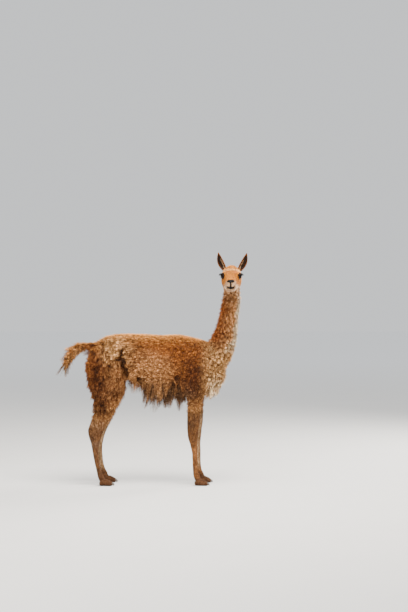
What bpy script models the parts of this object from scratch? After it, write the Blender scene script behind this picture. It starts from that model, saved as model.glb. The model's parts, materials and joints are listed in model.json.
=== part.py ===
"""Life-size vicuna standing side-on with its head turned to its right, in metres with Z up."""
import math
import random

import bmesh
import bpy
import numpy as np
from mathutils import Matrix, Vector
from mathutils.bvhtree import BVHTree
from mathutils.kdtree import KDTree

# Gap between parts that meet face to face
GAP = 0.0003

# Fineness of the body and the head
BODY_VOXEL = 0.006
BODY_TRIANGLES = 5200
HEAD_VOXEL = 0.0026
HEAD_TRIANGLES = 2100
FOOT_VOXEL = 0.0026
FOOT_TRIANGLES = 240
RING_SIDES = 28
BODY_SMOOTH_PASSES = 4
HEAD_SMOOTH_PASSES = 20

# Trunk from rump to breast: x, height of the middle, half height, half width
TRUNK = [
    (-0.378, 0.756, 0.030, 0.030),
    (-0.350, 0.762, 0.086, 0.080),
    (-0.299, 0.768, 0.122, 0.112),
    (-0.232, 0.772, 0.143, 0.128),
    (-0.147, 0.778, 0.144, 0.124),
    (-0.073, 0.766, 0.154, 0.131),
    (0.010, 0.741, 0.176, 0.144),
    (0.100, 0.727, 0.183, 0.149),
    (0.190, 0.719, 0.178, 0.144),
    (0.280, 0.708, 0.170, 0.124),
    (0.350, 0.700, 0.154, 0.100),
    (0.410, 0.694, 0.116, 0.074),
    (0.456, 0.702, 0.052, 0.042),
]

# Neck from breast to throat: height, x of the middle, half depth, half width
NECK = [
    (0.620, 0.318, 0.088, 0.074),
    (0.683, 0.346, 0.096, 0.080),
    (0.756, 0.388, 0.099, 0.078),
    (0.824, 0.423, 0.085, 0.065),
    (0.880, 0.446, 0.073, 0.057),
    (0.940, 0.464, 0.064, 0.053),
    (1.010, 0.478, 0.061, 0.051),
    (1.080, 0.490, 0.059, 0.050),
    (1.150, 0.498, 0.055, 0.048),
    (1.205, 0.500, 0.051, 0.046),
    (1.235, 0.499, 0.036, 0.034),
]
NECK_DEPTH_SHIFT = 0.010
NECK_DRIFT_RISE = (0.95, 0.25)

# Foreleg: height, x of the middle, half depth, distance from the middle plane, half width
FORELEG = [
    (0.745, 0.282, 0.070, 0.078, 0.046),
    (0.687, 0.275, 0.086, 0.080, 0.056),
    (0.590, 0.272, 0.069, 0.080, 0.050),
    (0.518, 0.272, 0.050, 0.078, 0.040),
    (0.451, 0.268, 0.045, 0.077, 0.034),
    (0.378, 0.265, 0.042, 0.076, 0.031),
    (0.325, 0.262, 0.036, 0.075, 0.028),
    (0.285, 0.263, 0.031, 0.075, 0.025),
    (0.245, 0.267, 0.023, 0.075, 0.020),
    (0.190, 0.273, 0.018, 0.075, 0.017),
    (0.120, 0.275, 0.017, 0.075, 0.017),
    (0.080, 0.279, 0.018, 0.075, 0.020),
    (0.045, 0.290, 0.021, 0.075, 0.022),
    (0.022, 0.298, 0.018, 0.075, 0.018),
]

# Hind leg, in the same order
HINDLEG = [
    (0.830, -0.262, 0.098, 0.066, 0.050),
    (0.736, -0.266, 0.126, 0.076, 0.062),
    (0.664, -0.264, 0.121, 0.080, 0.061),
    (0.591, -0.256, 0.112, 0.083, 0.056),
    (0.531, -0.254, 0.094, 0.084, 0.049),
    (0.476, -0.268, 0.075, 0.085, 0.042),
    (0.428, -0.285, 0.065, 0.085, 0.036),
    (0.379, -0.306, 0.059, 0.085, 0.032),
    (0.337, -0.323, 0.052, 0.085, 0.028),
    (0.298, -0.329, 0.041, 0.085, 0.025),
    (0.258, -0.328, 0.029, 0.085, 0.021),
    (0.210, -0.327, 0.021, 0.085, 0.018),
    (0.140, -0.318, 0.017, 0.085, 0.017),
    (0.095, -0.308, 0.016, 0.085, 0.018),
    (0.060, -0.296, 0.019, 0.085, 0.021),
    (0.024, -0.284, 0.018, 0.085, 0.018),
]

# The left pair stands a little ahead of the right pair
LEFT_FORE_AHEAD = 0.020
LEFT_HIND_AHEAD = 0.010
AHEAD_FALL = (0.75, 0.35)

# Tail along its middle line: x, height, half thickness, half width
TAIL = [
    (-0.290, 0.838, 0.030, 0.030),
    (-0.345, 0.843, 0.029, 0.030),
    (-0.400, 0.838, 0.023, 0.024),
    (-0.445, 0.822, 0.020, 0.021),
    (-0.480, 0.790, 0.019, 0.019),
    (-0.503, 0.750, 0.014, 0.015),
    (-0.514, 0.715, 0.007, 0.008),
]

# Head seen along its length: distance ahead, height of the middle, half height, half width
HEAD_X = 0.4975
HEAD_Y = 0.004
HEAD_YAW = 0.045
HEAD = [
    (-0.066, 1.262, 0.018, 0.018),
    (-0.054, 1.262, 0.044, 0.040),
    (-0.026, 1.257, 0.071, 0.058),
    (0.010, 1.252, 0.080, 0.065),
    (0.042, 1.247, 0.078, 0.061),
    (0.074, 1.240, 0.068, 0.049),
    (0.102, 1.230, 0.054, 0.040),
    (0.135, 1.220, 0.043, 0.035),
    (0.170, 1.213, 0.036, 0.032),
    (0.193, 1.211, 0.029, 0.027),
    (0.204, 1.211, 0.015, 0.015),
]
HEAD_SQUARENESS = 2.35

# Swellings of the head: across, ahead, height, then the three half sizes in that order
HEAD_PAIRS = [
    (0.034, 0.016, 1.206, 0.022, 0.054, 0.034),
    (0.032, 0.052, 1.283, 0.024, 0.038, 0.016),
    (0.034, 0.058, 1.270, 0.026, 0.042, 0.033),
    (0.015, 0.186, 1.208, 0.020, 0.021, 0.017),
    (0.014, 0.189, 1.231, 0.014, 0.018, 0.013),
]
HEAD_SINGLES = [
    (0.000, 0.160, 1.184, 0.024, 0.036, 0.014),
    (0.000, 0.184, 1.186, 0.022, 0.019, 0.011),
    (0.000, 0.006, 1.316, 0.034, 0.036, 0.022),
]
EAR_STUB_HALF = (0.015, 0.016, 0.017)
EAR_STUB_DEEP = 0.006

# Eye, lids and socket
EYE_RADIUS = 0.0175
EYE_ACROSS = 0.0440
EYE_AHEAD = 0.0755
EYE_HEIGHT = 1.2680
EYE_LOOK = (0.56, 0.82, 0.04)
EYE_SIDES = (14, 8)
LID_THICK = 0.0034
LID_OPEN_WIDE = 0.0155
LID_OPEN_HIGH = 0.0124
LID_SQUARENESS = 1.9

# Rings of the opening between the lids: distance from the eye's middle, share of its size
LID_RINGS = ((0.004, 0.86), (0.014, 0.96), (0.034, 1.30))

# Mouth and nostrils
MOUTH_HEIGHT = 1.1935
MOUTH_RISE = 0.0095
MOUTH_CENTRE_AHEAD = 0.165
MOUTH_HALF_ANGLE = math.radians(112.0)
MOUTH_DEPTH = 0.0050
MOUTH_HALF_OPEN = 0.0016
MOUTH_STEPS = 24
MOUTH_FADE = 0.75
MOUTH_CLEAR = 0.003
LIP_CLEFT_HALF = (0.0016, 0.0055, 0.0140)
NOSTRIL_ACROSS = 0.0120
NOSTRIL_HEIGHT = 1.2330
NOSTRIL_HALF = (0.0034, 0.0095, 0.0078)
NOSTRIL_START_AHEAD = 0.150
CLEFT_DROP = 0.018
NOSTRIL_LEAN = math.radians(48.0)

# Ear: share of the length, half width, half depth
EAR_ROWS = [
    (0.00, 0.0135, 0.0130),
    (0.10, 0.0160, 0.0140),
    (0.25, 0.0195, 0.0145),
    (0.42, 0.0200, 0.0135),
    (0.60, 0.0175, 0.0110),
    (0.78, 0.0120, 0.0080),
    (0.91, 0.0062, 0.0050),
    (1.00, 0.0022, 0.0026),
]
EAR_BOW = 0.0075
EAR_CLEAR = 0.0009
EAR_WALL = 0.0034
EAR_HALF_TURN = math.radians(112.0)
EAR_SIDES = 9
EAR_FLOOR = 0.020
EAR_SOLID = 0.008
EAR_OPENING = (0.32, -0.95)
EAR_BASE_AHEAD = -0.022
EAR_TIP_AHEAD = -0.012
RIGHT_EAR = ((-0.0430, 1.3085), (-0.0815, 1.4120))
LEFT_EAR = ((0.0470, 1.3045), (0.0925, 1.4080))

# Feet: distance ahead of the heel origin, height, half height, half width of one toe
TOE = [
    (-0.031, 0.013, 0.009, 0.008),
    (-0.018, 0.016, 0.018, 0.014),
    (0.005, 0.019, 0.0215, 0.0155),
    (0.025, 0.015, 0.0175, 0.0145),
    (0.041, 0.011, 0.0130, 0.0120),
    (0.050, 0.010, 0.0070, 0.0080),
]
TOE_SPREAD = 0.0150
TOE_TURN = math.radians(6.0)
FORE_FOOT_X = 0.303
HIND_FOOT_X = -0.273
NAIL = [
    (0.034, 0.0160, 0.0070, 0.0080),
    (0.045, 0.0130, 0.0062, 0.0072),
    (0.054, 0.0085, 0.0046, 0.0054),
    (0.060, 0.0048, 0.0026, 0.0030),
]

# Curly fleece: gap between clumps and height of each; a clump's reach is a share of the gap
CLUMP_SEED = 11
CLUMP_TRIES = 5000
BREAST_CLUMPS = (0.036, 0.0115)
HAUNCH_CLUMPS = (0.044, 0.0100)
CLUMP_REACH = 0.86
CLUMP_LONG = 1.25
CLUMP_LIE = (-0.25, 0.0, -1.0)

# Where the fleece begins, and how far on it has its full height
BREAST_TOP = (1.02, 0.08)
BREAST_LOW = (0.545, 0.03)
BREAST_BACK = (0.300, 0.05)
BREAST_BACK_LEAN = 0.26
BREAST_BACK_BEND = 0.80
HAUNCH_FRONT = (-0.185, 0.11)
HAUNCH_TOP = (0.880, 0.12)
HAUNCH_LOW = (0.440, 0.05)
HAUNCH_CLEAR = (0.012, 0.015)
HAUNCH_END_GAP = 0.002

# Locks: rows of them along the belly, under the breast and down the tail
LOCK_SEED = 5
LOCK_SECTIONS = 4
LOCK_TAPER = 0.42
LOCK_TAPER_POWER = 2.3
LOCK_FLATNESS = 0.42
LOCK_SUNK = 0.012
BREAST_LOCK_SUNK = 0.014
BELLY_ROWS = (-0.125, -0.095, -0.050, 0.0, 0.050, 0.095, 0.125)
BELLY_SPAN = (-0.105, 0.178)
BELLY_STEP = 0.040
BELLY_LOWEST = 0.460
BELLY_WIDTH = 0.034
BELLY_SHORTEST = 0.034
BELLY_RAY_HEIGHT = 0.70
BREAST_ROWS = (-0.060, -0.036, -0.012, 0.012, 0.036, 0.060)
BREAST_SPAN = (0.350, 0.452)
BREAST_STEP = 0.046
BREAST_WIDTH = 0.040
BREAST_LENGTH = 0.054
BREAST_RAY_HEIGHT = 0.72
TAIL_RINGS = ((-0.432, 0.827), (-0.470, 0.800), (-0.498, 0.759))
TAIL_ROUND = 5
TAIL_TIP = (-0.531, 0.655)
TAIL_SPREAD = 0.030
TAIL_WIDTH = 0.026

# Where the body is parted: a point on the cut and the way the part lies from it
NECK_CUT = ((0.418, 0.0, 0.846), (0.46, 0.0, 0.89))
HEAD_CUT_HEIGHT = 1.150
TAIL_CUT_X = -0.408
FORELEG_CUT_HEIGHT = 0.500
HINDLEG_CUT_HEIGHT = 0.590
FORELEG_SPAN = (0.190, 0.420)
HINDLEG_SPAN = (-0.460, -0.120)
FOOT_CUT_HEIGHT = 0.074
TAIL_BOX_LOW = (-0.7, -0.1, 0.55)
TAIL_BOX_SIDE = 0.1
TAIL_BOX_TOP = 0.95

# Colour, roughness and metalness of what each part is made of
SURFACES = {
    "coat": ((0.52, 0.30, 0.13, 1.0), 0.9, 0.0),
    "eye": ((0.012, 0.008, 0.006, 1.0), 0.1, 0.0),
    "nail": ((0.09, 0.07, 0.055, 1.0), 0.5, 0.0),
    "foot": ((0.10, 0.065, 0.04, 1.0), 0.8, 0.0),
}


def collection(name, hidden):
    """A new collection in the scene, with its objects kept out of renders if hidden."""
    group = bpy.data.collections.new(name)
    bpy.context.scene.collection.children.link(group)
    group.hide_render = hidden
    return group


def surface(name):
    """The material of one kind of part."""
    colour, rough, metal = SURFACES[name]
    material = bpy.data.materials.new(name)
    material.use_nodes = True
    shader = material.node_tree.nodes["Principled BSDF"]
    shader.inputs["Base Color"].default_value = colour
    shader.inputs["Roughness"].default_value = rough
    shader.inputs["Metallic"].default_value = metal
    return material


def solid(name, shape, group):
    """An object made of the faces in a bmesh, all turned outwards."""
    bmesh.ops.recalc_face_normals(shape, faces=shape.faces)
    mesh = bpy.data.meshes.new(name)
    shape.to_mesh(mesh)
    shape.free()
    made = bpy.data.objects.new(name, mesh)
    group.objects.link(made)
    return made


def smooth_rows(rows, steps):
    """Rows with others laid between them on a smooth curve through all of them."""
    given = [np.array(row, dtype=float) for row in rows]
    held = [2.0 * given[0] - given[1]] + given + [2.0 * given[-1] - given[-2]]
    dense = []
    for index in range(1, len(held) - 2):
        before, start, end, after = held[index - 1:index + 3]
        for step in range(steps):
            part = step / steps
            linear = (end - before) * part
            square = (2.0 * before - 5.0 * start + 4.0 * end - after) * part ** 2
            cube = (3.0 * start - before - 3.0 * end + after) * part ** 3
            dense.append(start + 0.5 * (linear + square + cube))
    dense.append(given[-1])
    return dense


def risen(distance, reach):
    """How far something has grown over a distance, from 0 to 1."""
    return min(max(distance / reach, 0.0), 1.0)


def oval(centre, across, along, sides, squareness):
    """Points round a flattened oval with the two given half axes."""
    points = []
    for index in range(sides):
        angle = 2.0 * math.pi * index / sides
        side = math.copysign(abs(math.cos(angle)) ** (2.0 / squareness), math.cos(angle))
        rise = math.copysign(abs(math.sin(angle)) ** (2.0 / squareness), math.sin(angle))
        points.append(centre + across * side + along * rise)
    return points


def skin_rings(shape, rings):
    """Faces between rings of points that follow one another, and over both ends."""
    layers = [[shape.verts.new(point) for point in ring] for ring in rings]
    for lower, upper in zip(layers, layers[1:]):
        for index, corner in enumerate(lower):
            following = (index + 1) % len(lower)
            shape.faces.new((corner, lower[following], upper[following], upper[index]))
    shape.faces.new(reversed(layers[0]))
    shape.faces.new(layers[-1])


def add_loft(shape, rows, frame, steps=4, sides=RING_SIDES, squareness=2.0):
    """A closed form through oval rings; frame turns a row into a centre and two half axes."""
    rings = []
    for row in smooth_rows(rows, steps):
        centre, across, along = frame(row)
        rings.append(oval(centre, across, along, sides, squareness))
    skin_rings(shape, rings)


def upright_frame(row):
    """Ring of the trunk: it stands across the body's length."""
    x, height, half_height, half_width = row
    return Vector((x, 0.0, height)), Vector((0.0, half_width, 0.0)), Vector((0.0, 0.0, half_height))


def neck_frame(row):
    """Ring of the neck: it lies level, and drifts to the left as it nears the head."""
    height, x, half_depth, half_width = row
    rise = risen(height - NECK_DRIFT_RISE[0], NECK_DRIFT_RISE[1])
    centre = Vector((x, NECK_DEPTH_SHIFT * rise, height))
    return centre, Vector((half_depth, 0.0, 0.0)), Vector((0.0, half_width, 0.0))


def leg_frame(side, ahead):
    """A function for level rings of the leg on one side, set ahead by a distance."""
    def frame(row):
        height, x, half_depth, out, half_width = row
        lower = risen(AHEAD_FALL[0] - height, AHEAD_FALL[1])
        centre = Vector((x + ahead * lower, side * out, height))
        return centre, Vector((half_depth, 0.0, 0.0)), Vector((0.0, half_width, 0.0))
    return frame


def head_point(across, ahead, height):
    """A place on the head, which looks along -Y."""
    return Vector((HEAD_X + across - HEAD_YAW * ahead, HEAD_Y - ahead, height))


def head_frame(row):
    """Ring of the head: it stands across the way the head looks."""
    ahead, height, half_height, half_width = row
    centre = head_point(0.0, ahead, height)
    return centre, Vector((half_width, 0.0, 0.0)), Vector((0.0, 0.0, half_height))


def tail_rings():
    """Rings square to the tail's middle line."""
    rows = smooth_rows(TAIL, 4)
    rings = []
    for index, row in enumerate(rows):
        before = rows[max(index - 1, 0)]
        after = rows[min(index + 1, len(rows) - 1)]
        run = Vector((after[0] - before[0], 0.0, after[1] - before[1])).normalized()
        square = Vector((-run.z, 0.0, run.x))
        centre = Vector((row[0], 0.0, row[1]))
        rings.append(oval(centre, square * row[2], Vector((0.0, row[3], 0.0)), RING_SIDES, 2.0))
    return rings


def add_ball(shape, centre, half_sizes, turn=None, detail=3):
    """An egg shape with three half sizes, turned if asked."""
    place = Matrix.Translation(centre) @ (turn or Matrix.Identity(4))
    place = place @ Matrix.Diagonal((*half_sizes, 1.0))
    bmesh.ops.create_icosphere(shape, subdivisions=detail, radius=1.0, matrix=place)


def bake(made):
    """Leave the object as its modifiers show it, with none of them left."""
    graph = bpy.context.evaluated_depsgraph_get()
    result = bpy.data.meshes.new_from_object(made.evaluated_get(graph))
    old = made.data
    made.modifiers.clear()
    made.data = result
    bpy.data.meshes.remove(old)
    return made


def triangles_of(made):
    """How many triangles an object's faces come to."""
    return sum(len(face.vertices) - 2 for face in made.data.polygons)


def fuse(made, voxel, passes):
    """Fuse overlapping closed forms into one smooth, dense skin."""
    change = made.modifiers.new("Fuse", "REMESH")
    change.mode = "VOXEL"
    change.voxel_size = voxel
    ease = made.modifiers.new("Ease", "SMOOTH")
    ease.factor = 0.5
    ease.iterations = passes
    return bake(made)


def thin(made, triangles):
    """Lower a dense skin to about so many triangles."""
    change = made.modifiers.new("Thin", "DECIMATE")
    change.ratio = triangles / triangles_of(made)
    change.use_collapse_triangulate = True
    return bake(made)


def boolean(target, tool, operation, solver="EXACT"):
    """Apply one Boolean and leave the tool as it is."""
    change = target.modifiers.new("Change", "BOOLEAN")
    change.operation = operation
    change.solver = solver
    change.object = tool
    bake(target)
    return keep_largest(target)


def keep_largest(made):
    """Drop every closed surface but the one with the most faces."""
    shape = bmesh.new()
    shape.from_mesh(made.data)
    left = set(shape.faces)
    groups = []
    while left:
        group = set()
        waiting = [left.pop()]
        while waiting:
            face = waiting.pop()
            group.add(face)
            for edge in face.edges:
                for other in edge.link_faces:
                    if other in left:
                        left.remove(other)
                        waiting.append(other)
        groups.append(group)
    groups.sort(key=len)
    for group in groups[:-1]:
        bmesh.ops.delete(shape, geom=list(group), context="FACES")
    bmesh.ops.triangulate(shape, faces=shape.faces)
    shape.to_mesh(made.data)
    shape.free()
    return made


def copy_of(made, name, group):
    """A second object with its own copy of the mesh."""
    twin = bpy.data.objects.new(name, made.data.copy())
    group.objects.link(twin)
    return twin


def discard(made):
    """Remove an object and its mesh."""
    mesh = made.data
    bpy.data.objects.remove(made)
    bpy.data.meshes.remove(mesh)


def block(name, low, high, group):
    """A box between two corners."""
    shape = bmesh.new()
    middle = (Vector(low) + Vector(high)) / 2.0
    size = Vector(high) - Vector(low)
    place = Matrix.Translation(middle) @ Matrix.Diagonal((*size, 1.0))
    bmesh.ops.create_cube(shape, size=1.0, matrix=place)
    return solid(name, shape, group)


def tilted_block(name, base, lie, half, height, group):
    """A box whose bottom face is centred on a point, and which rises along a direction."""
    shape = bmesh.new()
    turn = Vector(lie).to_track_quat("Z", "Y").to_matrix().to_4x4()
    place = Matrix.Translation(Vector(base)) @ turn @ Matrix.Translation((0.0, 0.0, height / 2.0))
    place = place @ Matrix.Diagonal((2.0 * half, 2.0 * half, height, 1.0))
    bmesh.ops.create_cube(shape, size=1.0, matrix=place)
    return solid(name, shape, group)


def part_box(whole, name, low, high, grow, parts, cutters):
    """Take the part of the whole inside a box; the whole loses it and a gap on the named faces."""
    inner = block("inner", low, high, cutters)
    taken = copy_of(whole, name, parts)
    boolean(taken, inner, "INTERSECT")
    outer = block("outer", Vector(low) - Vector(grow[0]), Vector(high) + Vector(grow[1]), cutters)
    boolean(whole, outer, "DIFFERENCE")
    discard(inner)
    discard(outer)
    return taken


def build_flesh(parts):
    """Trunk, neck, legs and tail as one skin."""
    shape = bmesh.new()
    add_loft(shape, TRUNK, upright_frame, squareness=2.15)
    add_loft(shape, NECK, neck_frame)
    for side, fore_ahead, hind_ahead in ((-1.0, 0.0, 0.0), (1.0, LEFT_FORE_AHEAD, LEFT_HIND_AHEAD)):
        add_loft(shape, FORELEG, leg_frame(side, fore_ahead))
        add_loft(shape, HINDLEG, leg_frame(side, hind_ahead))
    skin_rings(shape, tail_rings())
    torso = fuse(solid("torso", shape, parts), BODY_VOXEL, BODY_SMOOTH_PASSES)
    fleece(torso)
    return thin(torso, BODY_TRIANGLES)


def add_lock(shape, root, run, out, length, width, droop):
    """A flat lock that tapers and bends down from its root to its tip."""
    rings = []
    for step in range(LOCK_SECTIONS + 1):
        share = step / LOCK_SECTIONS
        centre = root + run * length * share + droop * length * share ** 2
        ahead = (run + droop * 2.0 * share).normalized()
        across = ahead.cross(out).normalized()
        thick = across.cross(ahead)
        spread = width * (0.5 - LOCK_TAPER * share ** LOCK_TAPER_POWER)
        rings.append([centre + across * spread, centre + thick * spread * LOCK_FLATNESS,
                      centre - across * spread, centre - thick * spread * LOCK_FLATNESS])
    skin_rings(shape, rings)


def on_breast(place):
    """How far the fleece of breast and lower neck grows here, from 0 to 1."""
    top = risen(BREAST_TOP[0] - place.z, BREAST_TOP[1])
    low = risen(place.z - BREAST_LOW[0], BREAST_LOW[1])
    back = BREAST_BACK[0] + BREAST_BACK_LEAN * max(place.z - BREAST_BACK_BEND, 0.0)
    return top * low * risen(place.x - back, BREAST_BACK[1])


def on_haunch(place):
    """How far the fleece at the back of the thighs grows here, from 0 to 1."""
    front = risen(HAUNCH_FRONT[0] - place.x, HAUNCH_FRONT[1])
    top = risen(HAUNCH_TOP[0] - place.z, HAUNCH_TOP[1])
    low = risen(place.z - HAUNCH_LOW[0], HAUNCH_LOW[1])
    clear = risen(abs(place.y) - HAUNCH_CLEAR[0], HAUNCH_CLEAR[1])
    if place.x <= TAIL_CUT_X + HAUNCH_END_GAP:
        return 0.0
    return front * top * low * clear


def scatter(made, wanted, gap, chance):
    """Places at least a gap apart on the wanted part of a surface."""
    faces = [face for face in made.data.polygons if wanted(face.center) > 0.0]
    kept = []
    for _ in range(CLUMP_TRIES):
        place = chance.choice(faces).center
        if all((place - other).length > gap for other in kept):
            kept.append(place.copy())
    return kept


def fleece(core):
    """Raise rounded clumps set close over the breast, the lower neck and the haunches."""
    chance = random.Random(CLUMP_SEED)
    corners = core.data.vertices
    outwards = [corner.normal.copy() for corner in corners]
    places = [corner.co.copy() for corner in corners]
    for wanted, (gap, height) in ((on_breast, BREAST_CLUMPS), (on_haunch, HAUNCH_CLUMPS)):
        middles = scatter(core, wanted, gap, chance)
        tree = KDTree(len(middles))
        for index, middle in enumerate(middles):
            tree.insert(middle, index)
        tree.balance()
        reach = gap * CLUMP_REACH
        for index, (place, out) in enumerate(zip(places, outwards)):
            share = wanted(place)
            if share <= 0.0:
                continue
            lie = Vector(CLUMP_LIE)
            lie = (lie - out * lie.dot(out)).normalized()
            best = 0.0
            for middle, _, _ in tree.find_n(place, 3):
                away = place - middle
                along = away.dot(lie) / reach
                across = (away - lie * away.dot(lie)).length / reach
                round_share = 1.0 - (along / CLUMP_LONG) ** 2 - across ** 2
                if round_share > 0.0:
                    best = max(best, math.sqrt(round_share) * (0.85 + 0.30 * along))
            corners[index].co = place + out * height * share * best


def belly_locks(tree, chance, group):
    """Locks that hang from the belly, longest below the ribs."""
    for row, out_y in enumerate(BELLY_ROWS):
        x = BELLY_SPAN[0] + BELLY_STEP * 0.5 * (row % 2)
        while x < BELLY_SPAN[1]:
            start = Vector((x, out_y, BELLY_RAY_HEIGHT))
            place, out, _, _ = tree.ray_cast(start, Vector((0.0, 0.0, -1.0)))
            if place is not None:
                lowest = BELLY_LOWEST + max(0.03 - x, 0.0) + chance.uniform(0.0, 0.05)
                length = max(place.z - lowest, BELLY_SHORTEST) + LOCK_SUNK
                run = Vector((chance.uniform(-0.10, 0.02), chance.uniform(-0.08, 0.08), -1.0))
                droop = Vector((chance.uniform(-0.30, 0.25), -0.5 * out_y, 0.0))
                side = Vector((chance.uniform(-0.6, 0.6), 1.0 if out_y > 0.0 else -1.0, 0.0))
                shape = bmesh.new()
                add_lock(shape, place - out * LOCK_SUNK, run.normalized(), side.normalized(), length,
                         BELLY_WIDTH * chance.uniform(0.8, 1.15), droop)
                solid("lock", shape, group)
            x += BELLY_STEP * chance.uniform(0.85, 1.15)


def breast_locks(tree, chance, group):
    """Longer locks that hang at the lower front of the breast."""
    for row, out_y in enumerate(BREAST_ROWS):
        x = BREAST_SPAN[0] + BREAST_STEP * 0.5 * (row % 2)
        while x < BREAST_SPAN[1]:
            start = Vector((x, out_y, BREAST_RAY_HEIGHT))
            place, out, _, _ = tree.ray_cast(start, Vector((0.0, 0.0, -1.0)))
            if place is not None:
                run = (Vector((0.0, 0.3 * out_y, -1.0)) + 0.5 * out).normalized()
                droop = Vector((-0.22, 0.0, -0.20))
                side = Vector((0.5, 1.0 if out_y > 0.0 else -1.0, 0.0)).normalized()
                length = BREAST_LENGTH * chance.uniform(0.75, 1.0)
                shape = bmesh.new()
                add_lock(shape, place - out * BREAST_LOCK_SUNK, run, side, length,
                         BREAST_WIDTH * chance.uniform(0.85, 1.1), droop)
                solid("lock", shape, group)
            x += BREAST_STEP * chance.uniform(0.85, 1.15)


def tail_locks(chance, group):
    """Locks round the tail that run down it and spread at their tips."""
    tip = Vector((TAIL_TIP[0], 0.0, TAIL_TIP[1]))
    for level, (x, height) in enumerate(TAIL_RINGS):
        base = Vector((x, 0.0, height))
        following = TAIL_RINGS[min(level + 1, len(TAIL_RINGS) - 1)]
        way = Vector((following[0] - x, 0.0, following[1] - height))
        way = (way if way.length > 0.001 else tip - base).normalized()
        for step in range(TAIL_ROUND):
            angle = 2.0 * math.pi * (step + 0.5 * (level % 2) + chance.uniform(-0.1, 0.1)) / TAIL_ROUND
            out = Vector((-way.z * math.cos(angle), math.sin(angle), way.x * math.cos(angle)))
            root = base + out * LOCK_SUNK
            aim = tip + out * TAIL_SPREAD * chance.uniform(0.5, 1.0) - root
            reach = chance.uniform(0.80, 1.0) if level > 0 else chance.uniform(0.52, 0.66)
            run = (way + out * 0.22).normalized()
            length = aim.length * reach
            droop = (aim.normalized() - run) * 0.9
            shape = bmesh.new()
            add_lock(shape, root, run, out, length, TAIL_WIDTH * chance.uniform(0.85, 1.1), droop)
            solid("lock", shape, group)


def dress(core):
    """Join the locks to the body in one union."""
    group = bpy.data.collections.new("coat pieces")
    bpy.context.scene.collection.children.link(group)
    tree = tree_of(core)
    chance = random.Random(LOCK_SEED)
    belly_locks(tree, chance, group)
    breast_locks(tree, chance, group)
    tail_locks(chance, group)
    change = core.modifiers.new("Join", "BOOLEAN")
    change.operation = "UNION"
    change.operand_type = "COLLECTION"
    change.collection = group
    change.solver = "EXACT"
    bake(core)
    for piece in list(group.objects):
        discard(piece)
    bpy.data.collections.remove(group)
    return keep_largest(core)


def part_neck(whole, parts, cutters):
    """Take the neck off the body and end it under the head."""
    base, lie = Vector(NECK_CUT[0]), Vector(NECK_CUT[1]).normalized()
    inner = tilted_block("inner", base + lie * GAP / 2.0, lie, 0.30, 0.60, cutters)
    outer = tilted_block("outer", base - lie * GAP / 2.0, lie, 0.30, 0.60, cutters)
    neck = boolean(copy_of(whole, "neck", parts), inner, "INTERSECT")
    boolean(whole, outer, "DIFFERENCE")
    above = block("above", (0.0, -0.5, HEAD_CUT_HEIGHT - GAP / 2.0), (1.0, 0.5, 2.0), cutters)
    boolean(neck, above, "DIFFERENCE")
    for tool in (inner, outer, above):
        discard(tool)
    return neck


def part_leg(whole, name, span, side, height, parts, cutters):
    """Take one leg off the body at a height and end it above the foot."""
    sides = sorted((0.0, side * 0.3))
    low = (span[0], sides[0], FOOT_CUT_HEIGHT + GAP / 2.0)
    high = (span[1], sides[1], height - GAP / 2.0)
    grow = ((0.0, 0.0, 0.2), (0.0, 0.0, GAP))
    return part_box(whole, name, low, high, grow, parts, cutters)


def lid_turn(side):
    """How an eye's lids are turned so that they face the way the eye looks."""
    look = Vector((side * EYE_LOOK[0], -EYE_LOOK[1], EYE_LOOK[2])).normalized()
    return look, look.to_track_quat("Z", "Y").to_matrix().to_4x4()


def eye_centre(side):
    """The middle of one eye."""
    return head_point(side * EYE_ACROSS, EYE_AHEAD, EYE_HEIGHT)


def eyeball(name, side, radius, group):
    """A ball at one eye."""
    shape = bmesh.new()
    _, turn = lid_turn(side)
    bmesh.ops.create_uvsphere(shape, u_segments=EYE_SIDES[0], v_segments=EYE_SIDES[1],
                              radius=radius, matrix=Matrix.Translation(eye_centre(side)) @ turn)
    bmesh.ops.triangulate(shape, faces=shape.faces)
    return solid(name, shape, group)


def lid_opening(side, group):
    """The oval opening between the lids, as a cutter."""
    look, _ = lid_turn(side)
    across = look.cross(Vector((0.0, 0.0, 1.0))).normalized()
    upwards = across.cross(look)
    rings = []
    for distance, spread in LID_RINGS:
        middle = eye_centre(side) + look * distance
        rings.append(oval(middle, across * LID_OPEN_WIDE * spread, upwards * LID_OPEN_HIGH * spread,
                          EYE_SIDES[0], LID_SQUARENESS))
    shape = bmesh.new()
    skin_rings(shape, rings)
    return solid("opening tool", shape, group)


def ear_axes(ear, side):
    """The base, the length, and the outward and forward directions of an ear."""
    (base_across, base_height), (tip_across, tip_height) = ear
    base = head_point(base_across, EAR_BASE_AHEAD, base_height)
    tip = head_point(tip_across, EAR_TIP_AHEAD, tip_height)
    run = (tip - base).normalized()
    opening = Vector((side * EAR_OPENING[0], EAR_OPENING[1], 0.0))
    opening = (opening - run * opening.dot(run)).normalized()
    across = run.cross(opening).normalized()
    return base, tip, run, across, opening


def ear_middle(ear, side, share):
    """A point on an ear's bowed middle line."""
    base, tip, run, across, _ = ear_axes(ear, side)
    bow = across * side * EAR_BOW * math.sin(math.pi * share)
    return base + (tip - base) * share + bow


def ear_room(ear, side, group):
    """The room that an ear's foot needs in the head."""
    _, _, run, across, opening = ear_axes(ear, side)
    rings = []
    for share, half_width, half_depth in EAR_ROWS[:4]:
        middle = ear_middle(ear, side, share) - run * GAP
        rings.append(oval(middle, across * (half_width + EAR_CLEAR),
                          opening * (half_depth + EAR_CLEAR), EYE_SIDES[0], 2.0))
    shape = bmesh.new()
    skin_rings(shape, rings)
    return solid("ear tool", shape, group)


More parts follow.
